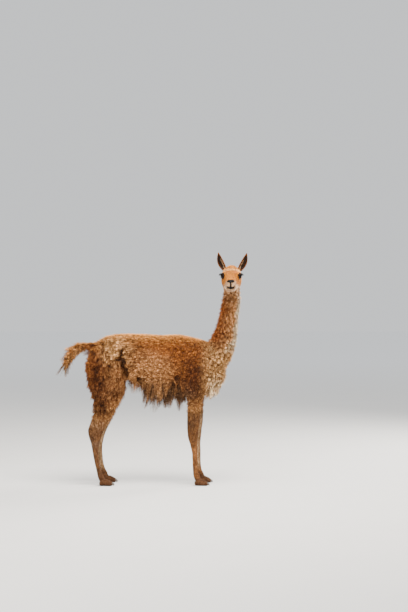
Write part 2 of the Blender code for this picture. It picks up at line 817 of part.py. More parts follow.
def build_ear(name, ear, side, parts):
    """A leaf-shaped cup, open to the front."""
    base, tip, run, across, opening = ear_axes(ear, side)
    length = (tip - base).length
    shape = bmesh.new()
    rings = []
    for share, half_width, half_depth in smooth_rows(EAR_ROWS, 1):
        centre = ear_middle(ear, side, share)
        wall = min(EAR_WALL, 0.62 * half_depth)
        hollow = risen(share * length - EAR_SOLID, EAR_FLOOR)
        outer, inner = [], []
        for step in range(EAR_SIDES):
            angle = EAR_HALF_TURN * (2.0 * step / (EAR_SIDES - 1) - 1.0)
            side_share, back_share = math.sin(angle), math.cos(angle)
            rim = across * side_share * half_width
            outer.append(centre + rim - opening * back_share * half_depth)
            within = across * side_share * (half_width - wall)
            deep = (half_depth - wall) * back_share
            front = -math.cos(EAR_HALF_TURN) * half_depth * (1.0 - abs(side_share) ** 3 * 0.4)
            inner.append(centre + within - opening * (deep * hollow - front * (1.0 - hollow)))
        rings.append(outer + inner[::-1])
    skin_rings(shape, rings)
    return keep_largest(solid(name, shape, parts))


def mouth_hits(tree):
    """Where the line of the mouth meets the muzzle, from one corner to the other."""
    hits = []
    for step in range(MOUTH_STEPS + 1):
        share = 2.0 * step / MOUTH_STEPS - 1.0
        angle = MOUTH_HALF_ANGLE * share
        height = MOUTH_HEIGHT + MOUTH_RISE * abs(share) ** 3
        start = head_point(0.0, MOUTH_CENTRE_AHEAD, height)
        way = Vector((math.sin(angle), -math.cos(angle), 0.0))
        place = tree.ray_cast(start, way)[0]
        hits.append((place, way, share))
    return hits


def add_mouth_line(shape, tree):
    """A groove cutter that follows the line of the mouth round the muzzle."""
    rings = []
    for place, way, share in mouth_hits(tree):
        fade = 1.0 - MOUTH_FADE * abs(share) ** 3
        inwards = way * MOUTH_DEPTH * fade
        rise = Vector((0.0, 0.0, MOUTH_HALF_OPEN * fade))
        outer = way * MOUTH_CLEAR
        rings.append([place - inwards, place - rise * 0.4, place + outer - rise * 1.5,
                      place + outer + rise * 1.5, place + rise * 0.4])
    skin_rings(shape, rings)


def nostril_tools(tree, cutters):
    """Slits leaning in towards the lip, and the cleft of the lip between them."""
    tools = []
    for side in (-1.0, 1.0):
        start = head_point(side * NOSTRIL_ACROSS, NOSTRIL_START_AHEAD, NOSTRIL_HEIGHT)
        place = tree.ray_cast(start, Vector((0.0, -1.0, 0.0)))[0]
        turn = Matrix.Rotation(side * NOSTRIL_LEAN, 4, "Y")
        shape = bmesh.new()
        add_ball(shape, place, NOSTRIL_HALF, turn, detail=2)
        tools.append(solid("nostril tool", shape, cutters))
    start = head_point(0.0, NOSTRIL_START_AHEAD, NOSTRIL_HEIGHT - CLEFT_DROP)
    place = tree.ray_cast(start, Vector((0.0, -1.0, 0.0)))[0]
    shape = bmesh.new()
    add_ball(shape, place, LIP_CLEFT_HALF, detail=2)
    tools.append(solid("cleft tool", shape, cutters))
    return tools


def tree_of(made):
    """A search tree over an object's faces."""
    shape = bmesh.new()
    shape.from_mesh(made.data)
    tree = BVHTree.FromBMesh(shape)
    shape.free()
    return tree


def build_head(parts, cutters):
    """Skull, muzzle, lids, nostrils and the line of the mouth, on a stub of the neck."""
    shape = bmesh.new()
    add_loft(shape, HEAD, head_frame, squareness=HEAD_SQUARENESS)
    add_loft(shape, NECK[6:], neck_frame)
    for across, ahead, height, *half in HEAD_PAIRS:
        for side in (-1.0, 1.0):
            add_ball(shape, head_point(side * across, ahead, height), half)
    for across, ahead, height, *half in HEAD_SINGLES:
        add_ball(shape, head_point(across, ahead, height), half)
    for ear, side in ((RIGHT_EAR, -1.0), (LEFT_EAR, 1.0)):
        base, _, run, _, _ = ear_axes(ear, side)
        add_ball(shape, base - run * EAR_STUB_DEEP, EAR_STUB_HALF)
    for side in (-1.0, 1.0):
        add_ball(shape, eye_centre(side), (EYE_RADIUS + LID_THICK,) * 3)
    head = fuse(solid("head", shape, parts), HEAD_VOXEL, HEAD_SMOOTH_PASSES)
    thin(head, HEAD_TRIANGLES)

    tree = tree_of(head)
    tools = nostril_tools(tree, cutters)
    shape = bmesh.new()
    add_mouth_line(shape, tree)
    tools.append(solid("mouth tool", shape, cutters))
    for side in (-1.0, 1.0):
        tools.append(lid_opening(side, cutters))
        tools.append(eyeball("socket tool", side, EYE_RADIUS + GAP, cutters))
    for ear, side in ((RIGHT_EAR, -1.0), (LEFT_EAR, 1.0)):
        tools.append(ear_room(ear, side, cutters))
    tools.append(block("below", (0.2, -0.5, 0.8), (0.8, 0.5, HEAD_CUT_HEIGHT + GAP / 2.0), cutters))
    for tool in tools:
        boolean(head, tool, "DIFFERENCE")
        discard(tool)
    return head


def toe_place(foot_x, foot_y, side):
    """Where a toe stands and how it is turned out."""
    return Matrix.Translation((foot_x, foot_y + side * TOE_SPREAD, 0.0)) @ Matrix.Rotation(
        side * TOE_TURN, 4, "Z")


def toe_frame(place, grow):
    """A function for rings across a toe or nail, grown by a distance."""
    def frame(row):
        ahead, height, half_height, half_width = row
        centre = place @ Vector((ahead, 0.0, height))
        across = place.to_3x3() @ Vector((0.0, half_width + grow, 0.0))
        return centre, across, Vector((0.0, 0.0, half_height + grow))
    return frame


def nail_loft(name, place, grow, group):
    """One nail, or the room it needs when grown."""
    shape = bmesh.new()
    rows = [list(row) for row in NAIL]
    rows[0][0] -= grow
    add_loft(shape, rows, toe_frame(place, grow), steps=1, sides=8)
    return keep_largest(solid(name, shape, group))


def build_foot(name, leg_rows, leg_ring, foot_x, foot_y, parts, cutters):
    """A two-toed foot under the leg, resting on flat pads, with a nail on each toe."""
    shape = bmesh.new()
    add_loft(shape, leg_rows[-5:], leg_ring)
    for side in (-1.0, 1.0):
        add_loft(shape, TOE, toe_frame(toe_place(foot_x, foot_y, side), 0.0), sides=20)
    foot = fuse(solid(name, shape, parts), FOOT_VOXEL, BODY_SMOOTH_PASSES)
    thin(foot, FOOT_TRIANGLES)
    above = block("above", (-1.0, -1.0, FOOT_CUT_HEIGHT - GAP / 2.0), (1.0, 1.0, 1.0), cutters)
    floor = block("floor", (-1.0, -1.0, -0.1), (1.0, 1.0, 0.0), cutters)
    for tool in (above, floor):
        boolean(foot, tool, "DIFFERENCE")
        discard(tool)
    nails = []
    for side, where in ((-1.0, "right"), (1.0, "left")):
        place = toe_place(foot_x, foot_y, side)
        nails.append(nail_loft(f"{name}_nail_{where}", place, 0.0, parts))
        room = nail_loft("room", place, GAP, cutters)
        boolean(foot, room, "DIFFERENCE")
        discard(room)
    return foot, nails


def centre_all(made):
    """Set the origin under the middle of the animal, on the floor."""
    points = np.array([corner.co for part in made for corner in part.data.vertices])
    low, high = points.min(axis=0), points.max(axis=0)
    shift = Vector((-(low[0] + high[0]) / 2.0, -(low[1] + high[1]) / 2.0, -low[2]))
    for part in made:
        part.data.transform(Matrix.Translation(shift))
    print("shift", tuple(round(value, 5) for value in shift))


def main():
    """Build every part and give each its material."""
    for old in list(bpy.data.objects):
        bpy.data.objects.remove(old)
    parts = collection("vicuna", False)
    cutters = collection("cutters", True)
    surfaces = {name: surface(name) for name in SURFACES}
    coat, eyes, feet, nails = [], [], [], []

    torso = dress(build_flesh(parts))
    coat.append(part_neck(torso, parts, cutters))
    tail_end = (TAIL_CUT_X - GAP / 2.0, TAIL_BOX_SIDE, TAIL_BOX_TOP)
    coat.append(part_box(torso, "tail", TAIL_BOX_LOW, tail_end,
                         ((0.0, 0.0, 0.0), (GAP, 0.0, 0.0)), parts, cutters))
    for side, where, fore_ahead, hind_ahead in (
            (-1.0, "right", 0.0, 0.0), (1.0, "left", LEFT_FORE_AHEAD, LEFT_HIND_AHEAD)):
        for limb, rows, ahead, span, height, foot_x in (
                ("fore", FORELEG, fore_ahead, FORELEG_SPAN, FORELEG_CUT_HEIGHT, FORE_FOOT_X),
                ("hind", HINDLEG, hind_ahead, HINDLEG_SPAN, HINDLEG_CUT_HEIGHT, HIND_FOOT_X)):
            name = f"{limb}leg_{where}"
            coat.append(part_leg(torso, name, span, side, height, parts, cutters))
            foot_y = side * rows[-1][3]
            foot, own_nails = build_foot(f"{limb}foot_{where}", rows, leg_frame(side, ahead),
                                         foot_x + ahead, foot_y, parts, cutters)
            feet.append(foot)
            nails.extend(own_nails)
    coat.append(torso)
    coat.append(build_head(parts, cutters))
    for side, where, ear in ((-1.0, "right", RIGHT_EAR), (1.0, "left", LEFT_EAR)):
        coat.append(build_ear(f"ear_{where}", ear, side, parts))
        eyes.append(eyeball(f"eye_{where}", side, EYE_RADIUS, parts))

    for group, kind in ((coat, "coat"), (eyes, "eye"), (nails, "nail"), (feet, "foot")):
        for part in group:
            part.data.materials.clear()
            part.data.materials.append(surfaces[kind])
    centre_all(coat + eyes + feet + nails)


main()
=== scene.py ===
"""Looks of a standing vicuna: skin, coat, eyes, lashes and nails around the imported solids."""
import json
import logging
import math
import random
from dataclasses import dataclass, field
from enum import Enum
from itertools import product
from typing import Callable, Iterable, Optional, Sequence, Union

import bmesh
import bpy
import numpy as np
from mathutils import Matrix, Vector
from mathutils.bvhtree import BVHTree
from mathutils.kdtree import KDTree

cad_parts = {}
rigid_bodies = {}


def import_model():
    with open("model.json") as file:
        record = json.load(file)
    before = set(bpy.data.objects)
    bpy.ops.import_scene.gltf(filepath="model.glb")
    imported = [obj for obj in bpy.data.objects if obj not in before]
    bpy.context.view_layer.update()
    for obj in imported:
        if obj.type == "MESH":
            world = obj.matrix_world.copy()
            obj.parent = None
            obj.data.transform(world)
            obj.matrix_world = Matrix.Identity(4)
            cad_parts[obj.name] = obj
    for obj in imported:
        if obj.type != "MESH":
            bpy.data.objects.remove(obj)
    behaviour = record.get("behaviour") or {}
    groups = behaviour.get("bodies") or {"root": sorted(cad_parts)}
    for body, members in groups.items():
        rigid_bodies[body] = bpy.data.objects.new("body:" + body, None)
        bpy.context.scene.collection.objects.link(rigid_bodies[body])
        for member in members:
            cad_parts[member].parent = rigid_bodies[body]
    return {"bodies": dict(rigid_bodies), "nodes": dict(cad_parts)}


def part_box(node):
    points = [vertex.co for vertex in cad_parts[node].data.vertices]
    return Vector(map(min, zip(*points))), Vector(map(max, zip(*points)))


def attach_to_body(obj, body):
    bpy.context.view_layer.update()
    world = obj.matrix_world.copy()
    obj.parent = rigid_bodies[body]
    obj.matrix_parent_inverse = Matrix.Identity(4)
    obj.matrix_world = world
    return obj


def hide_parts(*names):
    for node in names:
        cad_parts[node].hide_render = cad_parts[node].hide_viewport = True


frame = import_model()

Rows = Sequence[Sequence[float]]
Span = tuple[float, float]
Colour = tuple[float, float, float]
logger = logging.getLogger("vicuna")


# Sizes shared with the solids, in metres, before the whole is moved over its own middle

class Side(Enum):
    """The animal's own right and left; the value is the sign of Y."""

    RIGHT = -1.0
    LEFT = 1.0

    @property
    def word(self) -> str:
        """The side's name in lower case."""
        return self.name.lower()


@dataclass(frozen=True)
class Bodyline:
    """Rings of the trunk, neck, legs and tail, as the solids have them."""

    trunk: Rows = (
        (-0.378, 0.756, 0.030, 0.030), (-0.350, 0.762, 0.086, 0.080),
        (-0.299, 0.768, 0.122, 0.112), (-0.232, 0.772, 0.143, 0.128),
        (-0.147, 0.778, 0.144, 0.124), (-0.073, 0.766, 0.154, 0.131),
        (0.010, 0.741, 0.176, 0.144), (0.100, 0.727, 0.183, 0.149),
        (0.190, 0.719, 0.178, 0.144), (0.280, 0.708, 0.170, 0.124),
        (0.350, 0.700, 0.154, 0.100), (0.410, 0.694, 0.116, 0.074),
        (0.456, 0.702, 0.052, 0.042))
    neck: Rows = (
        (0.620, 0.318, 0.088, 0.074), (0.683, 0.346, 0.096, 0.080),
        (0.756, 0.388, 0.099, 0.078), (0.824, 0.423, 0.085, 0.065),
        (0.880, 0.446, 0.073, 0.057), (0.940, 0.464, 0.064, 0.053),
        (1.010, 0.478, 0.061, 0.051), (1.080, 0.490, 0.059, 0.050),
        (1.150, 0.498, 0.055, 0.048), (1.205, 0.500, 0.051, 0.046),
        (1.235, 0.499, 0.036, 0.034))
    foreleg: Rows = (
        (0.745, 0.282, 0.070, 0.078, 0.046), (0.687, 0.275, 0.086, 0.080, 0.056),
        (0.590, 0.272, 0.069, 0.080, 0.050), (0.518, 0.272, 0.050, 0.078, 0.040),
        (0.451, 0.268, 0.045, 0.077, 0.034), (0.378, 0.265, 0.042, 0.076, 0.031),
        (0.325, 0.262, 0.036, 0.075, 0.028), (0.285, 0.263, 0.031, 0.075, 0.025),
        (0.245, 0.267, 0.023, 0.075, 0.020), (0.190, 0.273, 0.018, 0.075, 0.017),
        (0.120, 0.275, 0.017, 0.075, 0.017), (0.080, 0.279, 0.018, 0.075, 0.020),
        (0.045, 0.290, 0.021, 0.075, 0.022), (0.022, 0.298, 0.018, 0.075, 0.018))
    hindleg: Rows = (
        (0.830, -0.262, 0.098, 0.066, 0.050), (0.736, -0.266, 0.126, 0.076, 0.062),
        (0.664, -0.264, 0.121, 0.080, 0.061), (0.591, -0.256, 0.112, 0.083, 0.056),
        (0.531, -0.254, 0.094, 0.084, 0.049), (0.476, -0.268, 0.075, 0.085, 0.042),
        (0.428, -0.285, 0.065, 0.085, 0.036), (0.379, -0.306, 0.059, 0.085, 0.032),
        (0.337, -0.323, 0.052, 0.085, 0.028), (0.298, -0.329, 0.041, 0.085, 0.025),
        (0.258, -0.328, 0.029, 0.085, 0.021), (0.210, -0.327, 0.021, 0.085, 0.018),
        (0.140, -0.318, 0.017, 0.085, 0.017), (0.095, -0.308, 0.016, 0.085, 0.018),
        (0.060, -0.296, 0.019, 0.085, 0.021), (0.024, -0.284, 0.018, 0.085, 0.018))
    tail: Rows = (
        (-0.290, 0.838, 0.030, 0.030), (-0.345, 0.843, 0.029, 0.030),
        (-0.400, 0.838, 0.023, 0.024), (-0.445, 0.822, 0.020, 0.021),
        (-0.480, 0.790, 0.019, 0.019), (-0.503, 0.750, 0.014, 0.015),
        (-0.514, 0.715, 0.007, 0.008))
    toe: Rows = (
        (-0.031, 0.013, 0.009, 0.008), (-0.018, 0.016, 0.018, 0.014),
        (0.005, 0.019, 0.0215, 0.0155), (0.025, 0.015, 0.0175, 0.0145),
        (0.041, 0.011, 0.0130, 0.0120), (0.050, 0.010, 0.0070, 0.0080))
    nail: Rows = (
        (0.034, 0.0160, 0.0070, 0.0080), (0.045, 0.0130, 0.0062, 0.0072),
        (0.054, 0.0085, 0.0046, 0.0054), (0.060, 0.0048, 0.0026, 0.0030))
    neck_shift: float = 0.010
    left_fore_ahead: float = 0.020
    left_hind_ahead: float = 0.010
    toe_spread: float = 0.0150
    toe_turn: float = math.radians(6.0)
    fore_foot_x: float = 0.303
    hind_foot_x: float = -0.273

    def feet(self) -> list[tuple[str, Side, float, float]]:
        """Every foot's name, side and place on the floor.

        Returns:
            One entry per foot: its node's name, its side, and x and y of its heel origin.
        """
        found = []
        for side in Side:
            left = side is Side.LEFT
            fore = self.fore_foot_x + (self.left_fore_ahead if left else 0.0)
            hind = self.hind_foot_x + (self.left_hind_ahead if left else 0.0)
            found.append((f"forefoot_{side.word}", side, fore, side.value * self.foreleg[-1][3]))
            found.append((f"hindfoot_{side.word}", side, hind, side.value * self.hindleg[-1][3]))
        return found


@dataclass(frozen=True)
class Headline:
    """Rings, swellings, eyes, mouth and ears of the head, as the solids have them."""

    x: float = 0.4975
    y: float = 0.004
    yaw: float = 0.045
    squareness: float = 2.35
    rings: Rows = (
        (-0.066, 1.262, 0.018, 0.018), (-0.054, 1.262, 0.044, 0.040),
        (-0.026, 1.257, 0.071, 0.058), (0.010, 1.252, 0.080, 0.065),
        (0.042, 1.247, 0.078, 0.061), (0.074, 1.240, 0.068, 0.049),
        (0.102, 1.230, 0.054, 0.040), (0.135, 1.220, 0.043, 0.035),
        (0.170, 1.213, 0.036, 0.032), (0.193, 1.211, 0.029, 0.027),
        (0.204, 1.211, 0.015, 0.015))
    pairs: Rows = (
        (0.034, 0.016, 1.206, 0.022, 0.054, 0.034), (0.032, 0.052, 1.283, 0.024, 0.038, 0.016),
        (0.034, 0.058, 1.270, 0.026, 0.042, 0.033), (0.015, 0.186, 1.208, 0.020, 0.021, 0.017),
        (0.014, 0.189, 1.231, 0.014, 0.018, 0.013))
    singles: Rows = (
        (0.000, 0.160, 1.184, 0.024, 0.036, 0.014), (0.000, 0.184, 1.186, 0.022, 0.019, 0.011),
        (0.000, 0.006, 1.316, 0.034, 0.036, 0.022))
    eye_radius: float = 0.0175
    eye_place: tuple[float, float, float] = (0.0440, 0.0755, 1.2680)
    eye_look: tuple[float, float, float] = (0.56, 0.82, 0.04)
    lid_thick: float = 0.0034
    lid_open: tuple[float, float] = (0.0166, 0.0138)
    mouth_height: float = 1.1935
    mouth_rise: float = 0.0095
    mouth_ahead: float = 0.165
    mouth_half_angle: float = math.radians(112.0)
    mouth_depth: float = 0.0050
    mouth_half_open: float = 0.0016
    nostril_place: tuple[float, float, float] = (0.0120, 0.150, 1.2330)
    nostril_half: tuple[float, float, float] = (0.0034, 0.0095, 0.0078)
    nostril_lean: float = math.radians(48.0)
    cleft_drop: float = 0.018
    cleft_half: tuple[float, float, float] = (0.0016, 0.0055, 0.0140)
    ear_rows: Rows = (
        (0.00, 0.0135, 0.0130), (0.10, 0.0160, 0.0140), (0.25, 0.0195, 0.0145),
        (0.42, 0.0200, 0.0135), (0.60, 0.0175, 0.0110), (0.78, 0.0120, 0.0080),
        (0.91, 0.0062, 0.0050), (1.00, 0.0022, 0.0026))
    ear_bow: float = 0.0075
    ear_wall: float = 0.0030
    ear_half_turn: float = math.radians(112.0)
    ear_floor: float = 0.020
    ear_base_ahead: float = -0.022
    ear_tip_ahead: float = -0.012
    right_ear: Rows = ((-0.0430, 1.3085), (-0.0815, 1.4120))
    left_ear: Rows = ((0.0470, 1.3045), (0.0925, 1.4080))

    def point(self, across: float, ahead: float, height: float) -> Vector:
        """A place on the head, which looks along -Y."""
        return Vector((self.x + across - self.yaw * ahead, self.y - ahead, height))

    def eye_centre(self, side: Side) -> Vector:
        """The middle of one eye."""
        across, ahead, height = self.eye_place
        return self.point(side.value * across, ahead, height)

    def look(self, side: Side) -> Vector:
        """The way one eye looks."""
        return Vector((side.value * self.eye_look[0], -self.eye_look[1],
                       self.eye_look[2])).normalized()

    def lid_axes(self, side: Side) -> tuple[Vector, Vector]:
        """The outward and upward directions across one eye's opening."""
        look = self.look(side)
        across = look.cross(Vector((0.0, 0.0, 1.0))).normalized()
        return across, across.cross(look)

    def ear_axes(self, side: Side) -> tuple[Vector, Vector, Vector, Vector, Vector]:
        """How one ear stands.

        Args:
            side: Which ear.

        Returns:
            Its base, its tip, and the directions along it, across it and out of its cup.
        """
        base_at, tip_at = self.right_ear if side is Side.RIGHT else self.left_ear
        base = self.point(base_at[0], self.ear_base_ahead, base_at[1])
        tip = self.point(tip_at[0], self.ear_tip_ahead, tip_at[1])
        run = (tip - base).normalized()
        opening = Vector((side.value * 0.32, -0.95, 0.0))
        opening = (opening - run * opening.dot(run)).normalized()
        return base, tip, run, run.cross(opening).normalized(), opening


BODY = Bodyline()
HEAD = Headline()


# Small helpers for numbers and shapes

def ramp(values: np.ndarray, start: float, end: float) -> np.ndarray:
    """A smooth step from 0 to 1."""
    share = np.clip((values - start) / (end - start), 0.0, 1.0)
    return share * share * (3.0 - 2.0 * share)


def unit(vectors: np.ndarray) -> np.ndarray:
    """Vectors of length one along the given ones."""
    length = np.linalg.norm(vectors, axis=1, keepdims=True)
    return vectors / np.maximum(length, 1e-9)


SWELLS, SWELL_SUM = 7, 3.2


def ripple(points: np.ndarray, size: float, seed: int) -> np.ndarray:
    """Soft, seeded noise in space.

    Args:
        points: Places to judge.
        size: About how far apart two swells lie.
        seed: Which noise.

    Returns:
        One value per place, mostly between -1 and 1.
    """
    chance = np.random.default_rng(seed)
    total = np.zeros(len(points))
    for _ in range(SWELLS):
        way = unit(chance.normal(size=(1, 3)))[0] * chance.uniform(0.7, 1.5)
        bend = np.sin(points @ unit(chance.normal(size=(1, 3)))[0] * 3.0 / size)
        total += np.sin(points @ way * 2.0 * math.pi / size + bend + chance.uniform(0.0, 6.3))
    return total / SWELL_SUM


def uneven(points: np.ndarray, *swells: tuple[float, float, int]) -> np.ndarray:
    """A factor that wavers about 1.

    Args:
        points: Places to judge.
        swells: The strength, size and seed of each noise.

    Returns:
        One factor per place, in a column.
    """
    total = np.ones(len(points))
    for strength, size, seed in swells:
        total = total + strength * ripple(points, size, seed)
    return total[:, None]


def over(base: np.ndarray, top: np.ndarray, share: np.ndarray) -> np.ndarray:
    """Numbers or rows that pass from a base into a top by each one's share."""
    share = share if base.ndim == 1 else share[:, None]
    return base * (1.0 - share) + top * share


def smooth_rows(rows: Rows, steps: int) -> np.ndarray:
    """Rows with others laid between them on a smooth curve through all of them.

    Args:
        rows: The given rows of numbers.
        steps: How many rows each gap is divided into.

    Returns:
        The dense rows.
    """
    given = [np.array(row, dtype=float) for row in rows]
    held = [2.0 * given[0] - given[1]] + given + [2.0 * given[-1] - given[-2]]
    dense = []
    for index in range(1, len(held) - 2):
        before, start, end, after = held[index - 1:index + 3]
        for step in range(steps):
            part = step / steps
            linear = (end - before) * part
            square = (2.0 * before - 5.0 * start + 4.0 * end - after) * part ** 2
            cube = (3.0 * start - before - 3.0 * end + after) * part ** 3
            dense.append(start + 0.5 * (linear + square + cube))
    dense.append(given[-1])
    return np.array(dense)


def oval(centre: Vector, across: Vector, along: Vector, sides: int,
         squareness: float = 2.0) -> list[Vector]:
    """Points round a flattened oval.

    Args:
        centre: Its middle.
        across: Its first half axis.
        along: Its second half axis.
        sides: How many points.
        squareness: 2 for an ellipse, more for a squarer ring.

    Returns:
        The points in order.
    """
    points = []
    for index in range(sides):
        angle = 2.0 * math.pi * index / sides
        side = math.copysign(abs(math.cos(angle)) ** (2.0 / squareness), math.cos(angle))
        rise = math.copysign(abs(math.sin(angle)) ** (2.0 / squareness), math.sin(angle))
        points.append(centre + across * side + along * rise)
    return points


def shown(name: str, data: bpy.types.ID) -> bpy.types.Object:
    """A new object of the given data, in the scene."""
    thing = bpy.data.objects.new(name, data)
    bpy.context.scene.collection.objects.link(thing)
    return thing


def shade_smooth(mesh: bpy.types.Mesh) -> None:
    """Shade every face of a mesh smoothly."""
    for face in mesh.polygons:
        face.use_smooth = True


@dataclass
class Clay:
    """Closed forms gathered in one mesh."""

    corners: list[tuple[float, float, float]] = field(default_factory=list)
    faces: list[list[int]] = field(default_factory=list)

    def tube(self, rings: Sequence[Sequence[Vector]]) -> None:
        """Add faces between rings of points, and over both ends.

        Args:
            rings: Rings with equal numbers of points that follow one another.
        """
        first = len(self.corners)
        sides = len(rings[0])
        for ring in rings:
            self.corners.extend(tuple(point) for point in ring)
        for level in range(len(rings) - 1):
            low = first + level * sides
            for index in range(sides):
                after = (index + 1) % sides
                self.faces.append([low + index, low + after, low + sides + after,
                                   low + sides + index])
        self.faces.append([first + index for index in reversed(range(sides))])
        top = first + (len(rings) - 1) * sides
        self.faces.append([top + index for index in range(sides)])

    def egg(self, centre: Vector, half: Sequence[float], turn: Optional[Matrix] = None,
            sides: int = 24, levels: int = 14) -> None:
        """Add an egg shape.

        Args:
            centre: Its middle.
            half: Its three half sizes.
            turn: How it is turned, if at all.
            sides: Points round it.
            levels: Rings from end to end.
        """
        turn = turn or Matrix.Identity(3)
        rings = []
        for level in range(levels + 1):
            polar = math.radians(4.0 + 172.0 * level / levels)
            ring = []
            for index in range(sides):
                angle = 2.0 * math.pi * index / sides
                local = Vector((half[0] * math.sin(polar) * math.cos(angle),
                                half[1] * math.sin(polar) * math.sin(angle),
                                -half[2] * math.cos(polar)))
                ring.append(centre + turn @ local)
            rings.append(ring)
        self.tube(rings)

    def made(self, name: str) -> bpy.types.Object:
        """An object of the gathered forms, faces turned outwards.

        Args:
            name: The object's name.

        Returns:
            The object, in the scene.
        """
        mesh = bpy.data.meshes.new(name)
        mesh.from_pydata(self.corners, [], self.faces)
        shape = bmesh.new()
        shape.from_mesh(mesh)
        bmesh.ops.recalc_face_normals(shape, faces=shape.faces)
        shape.to_mesh(mesh)
        shape.free()
        return shown(name, mesh)


def settle(thing: bpy.types.Object) -> bpy.types.Object:
    """Leave an object as its modifiers show it, with none of them left.

    Args:
        thing: The object.

    Returns:
        The same object with a plain mesh.
    """
    graph = bpy.context.evaluated_depsgraph_get()
    result = bpy.data.meshes.new_from_object(thing.evaluated_get(graph))
    old = thing.data
    thing.modifiers.clear()
    thing.data = result
    bpy.data.meshes.remove(old)
    return thing


def discard(thing: bpy.types.Object) -> None:
    """Remove an object and its mesh."""
    mesh = thing.data
    bpy.data.objects.remove(thing)
    bpy.data.meshes.remove(mesh)


class Joining(Enum):
    """What a tool does to a form."""

    ADD = "UNION"
    CUT = "DIFFERENCE"


def join(target: bpy.types.Object, tool: bpy.types.Object, joining: Joining) -> None:
    """Cut or join with a tool, which is then removed.

    Args:
        target: The object that changes.
        tool: The other form.
        joining: What the tool does.
    """
    change = target.modifiers.new("Change", "BOOLEAN")
    change.operation = joining.value
    change.solver = "MANIFOLD"
    change.object = tool
    settle(target)
    discard(tool)


def places_of(mesh: bpy.types.Mesh) -> np.ndarray:
    """Where a mesh's corners are, one row each."""
    flat = np.empty(len(mesh.vertices) * 3)
    mesh.vertices.foreach_get("co", flat)
    return flat.reshape(-1, 3)


def outwards_of(mesh: bpy.types.Mesh) -> np.ndarray:
    """A mesh's normal at each corner, one row each."""
    flat = np.empty(len(mesh.vertices) * 3)
    mesh.vertices.foreach_get("normal", flat)
    return flat.reshape(-1, 3)


def put_places(mesh: bpy.types.Mesh, places: np.ndarray) -> None:
    """Move a mesh's corners to new places."""
    mesh.vertices.foreach_set("co", places.astype(np.float32).ravel())
    mesh.update()


def relax(mesh: bpy.types.Mesh, share: Callable[[np.ndarray], np.ndarray], passes: int) -> None:
    """Ease a mesh's corners towards their neighbours.

    Args:
        mesh: The mesh.
        share: Gives how strongly each place is eased, from 0 to 1.
        passes: How many times.
    """
    ends = np.empty(len(mesh.edges) * 2, dtype=np.int64)
    mesh.edges.foreach_get("vertices", ends)
    ends = ends.reshape(-1, 2)
    both = np.concatenate([ends, ends[:, ::-1]])
    places = places_of(mesh)
    count = np.maximum(np.bincount(both[:, 0], minlength=len(places)), 1)
    weight = share(places)[:, None] * 0.5
    for _ in range(passes):
        mean = np.empty_like(places)
        for axis in range(3):
            mean[:, axis] = np.bincount(both[:, 0], places[both[:, 1], axis], len(places)) / count
        places += (mean - places) * weight
    put_places(mesh, places)


def attach(mesh: bpy.types.Mesh, name: str, values: np.ndarray, domain: str = "POINT") -> None:
    """Keep a number or a vector for each corner of a mesh.

    Args:
        mesh: The mesh.
        name: The attribute's name; one that is there already is replaced.
        values: One number, or three, or a colour of four, per corner.
        domain: POINT for corners, FACE for faces.
    """
    if name in mesh.attributes:
        mesh.attributes.remove(mesh.attributes[name])
    kinds = {1: "FLOAT", 3: "FLOAT_VECTOR", 4: "FLOAT_COLOR"}
    width = 1 if values.ndim == 1 else values.shape[1]
    kept = mesh.attributes.new(name, kinds[width], domain)
    word = {1: "value", 3: "vector", 4: "color"}[width]
    kept.data.foreach_set(word, values.astype(np.float32).ravel())


def numbers(mesh: bpy.types.Mesh, name: str) -> np.ndarray:
    """Read back a number that was kept for each corner of a mesh."""
    values = np.empty(len(mesh.vertices))
    mesh.attributes[name].data.foreach_get("value", values)
    return values


def over_faces(mesh: bpy.types.Mesh, values: np.ndarray) -> np.ndarray:
    """The mean over each face of values given for a mesh's corners.

    Args:
        mesh: The mesh.
        values: One number per corner.

    Returns:
        One number per face.
    """
    corners = np.empty(len(mesh.loops), dtype=np.int64)
    mesh.loops.foreach_get("vertex_index", corners)
    starts = np.empty(len(mesh.polygons), dtype=np.int64)
    mesh.polygons.foreach_get("loop_start", starts)
    counts = np.diff(np.append(starts, len(corners)))
    return np.add.reduceat(values[corners], starts) / counts


def tree_of(mesh: bpy.types.Mesh) -> BVHTree:
    """A search tree over a mesh's faces.

    Args:
        mesh: The mesh.

    Returns:
        The tree.
    """
    shape = bmesh.new()
    shape.from_mesh(mesh)
    tree = BVHTree.FromBMesh(shape)
    shape.free()
    return tree


# Nodes

Feed = Union["Wire", float, int, bool, tuple, str, object]


class Wire:
    """The end of a node that gives a value, with arithmetic that adds Math nodes."""

    def __init__(self, board: "Board", socket: bpy.types.NodeSocket) -> None:
        """Wrap a socket."""
        self.board = board
        self.socket = socket

    def _sum(self, operation: str, first: Feed, second: Feed) -> "Wire":
        """One Math node on two values."""
        return self.board.add("ShaderNodeMath", {"operation": operation}, {0: first, 1: second})

    def __add__(self, other: Feed) -> "Wire":
        """This value and another."""
        return self._sum("ADD", self, other)

    __radd__ = __add__

    def __sub__(self, other: Feed) -> "Wire":
        """This value less another."""
        return self._sum("SUBTRACT", self, other)

    def __rsub__(self, other: Feed) -> "Wire":
        """Another value less this one."""
        return self._sum("SUBTRACT", other, self)

    def __mul__(self, other: Feed) -> "Wire":
        """This value times another."""
        return self._sum("MULTIPLY", self, other)

    __rmul__ = __mul__

    def __pow__(self, other: Feed) -> "Wire":
        """This value raised to another."""
        return self._sum("POWER", self, other)


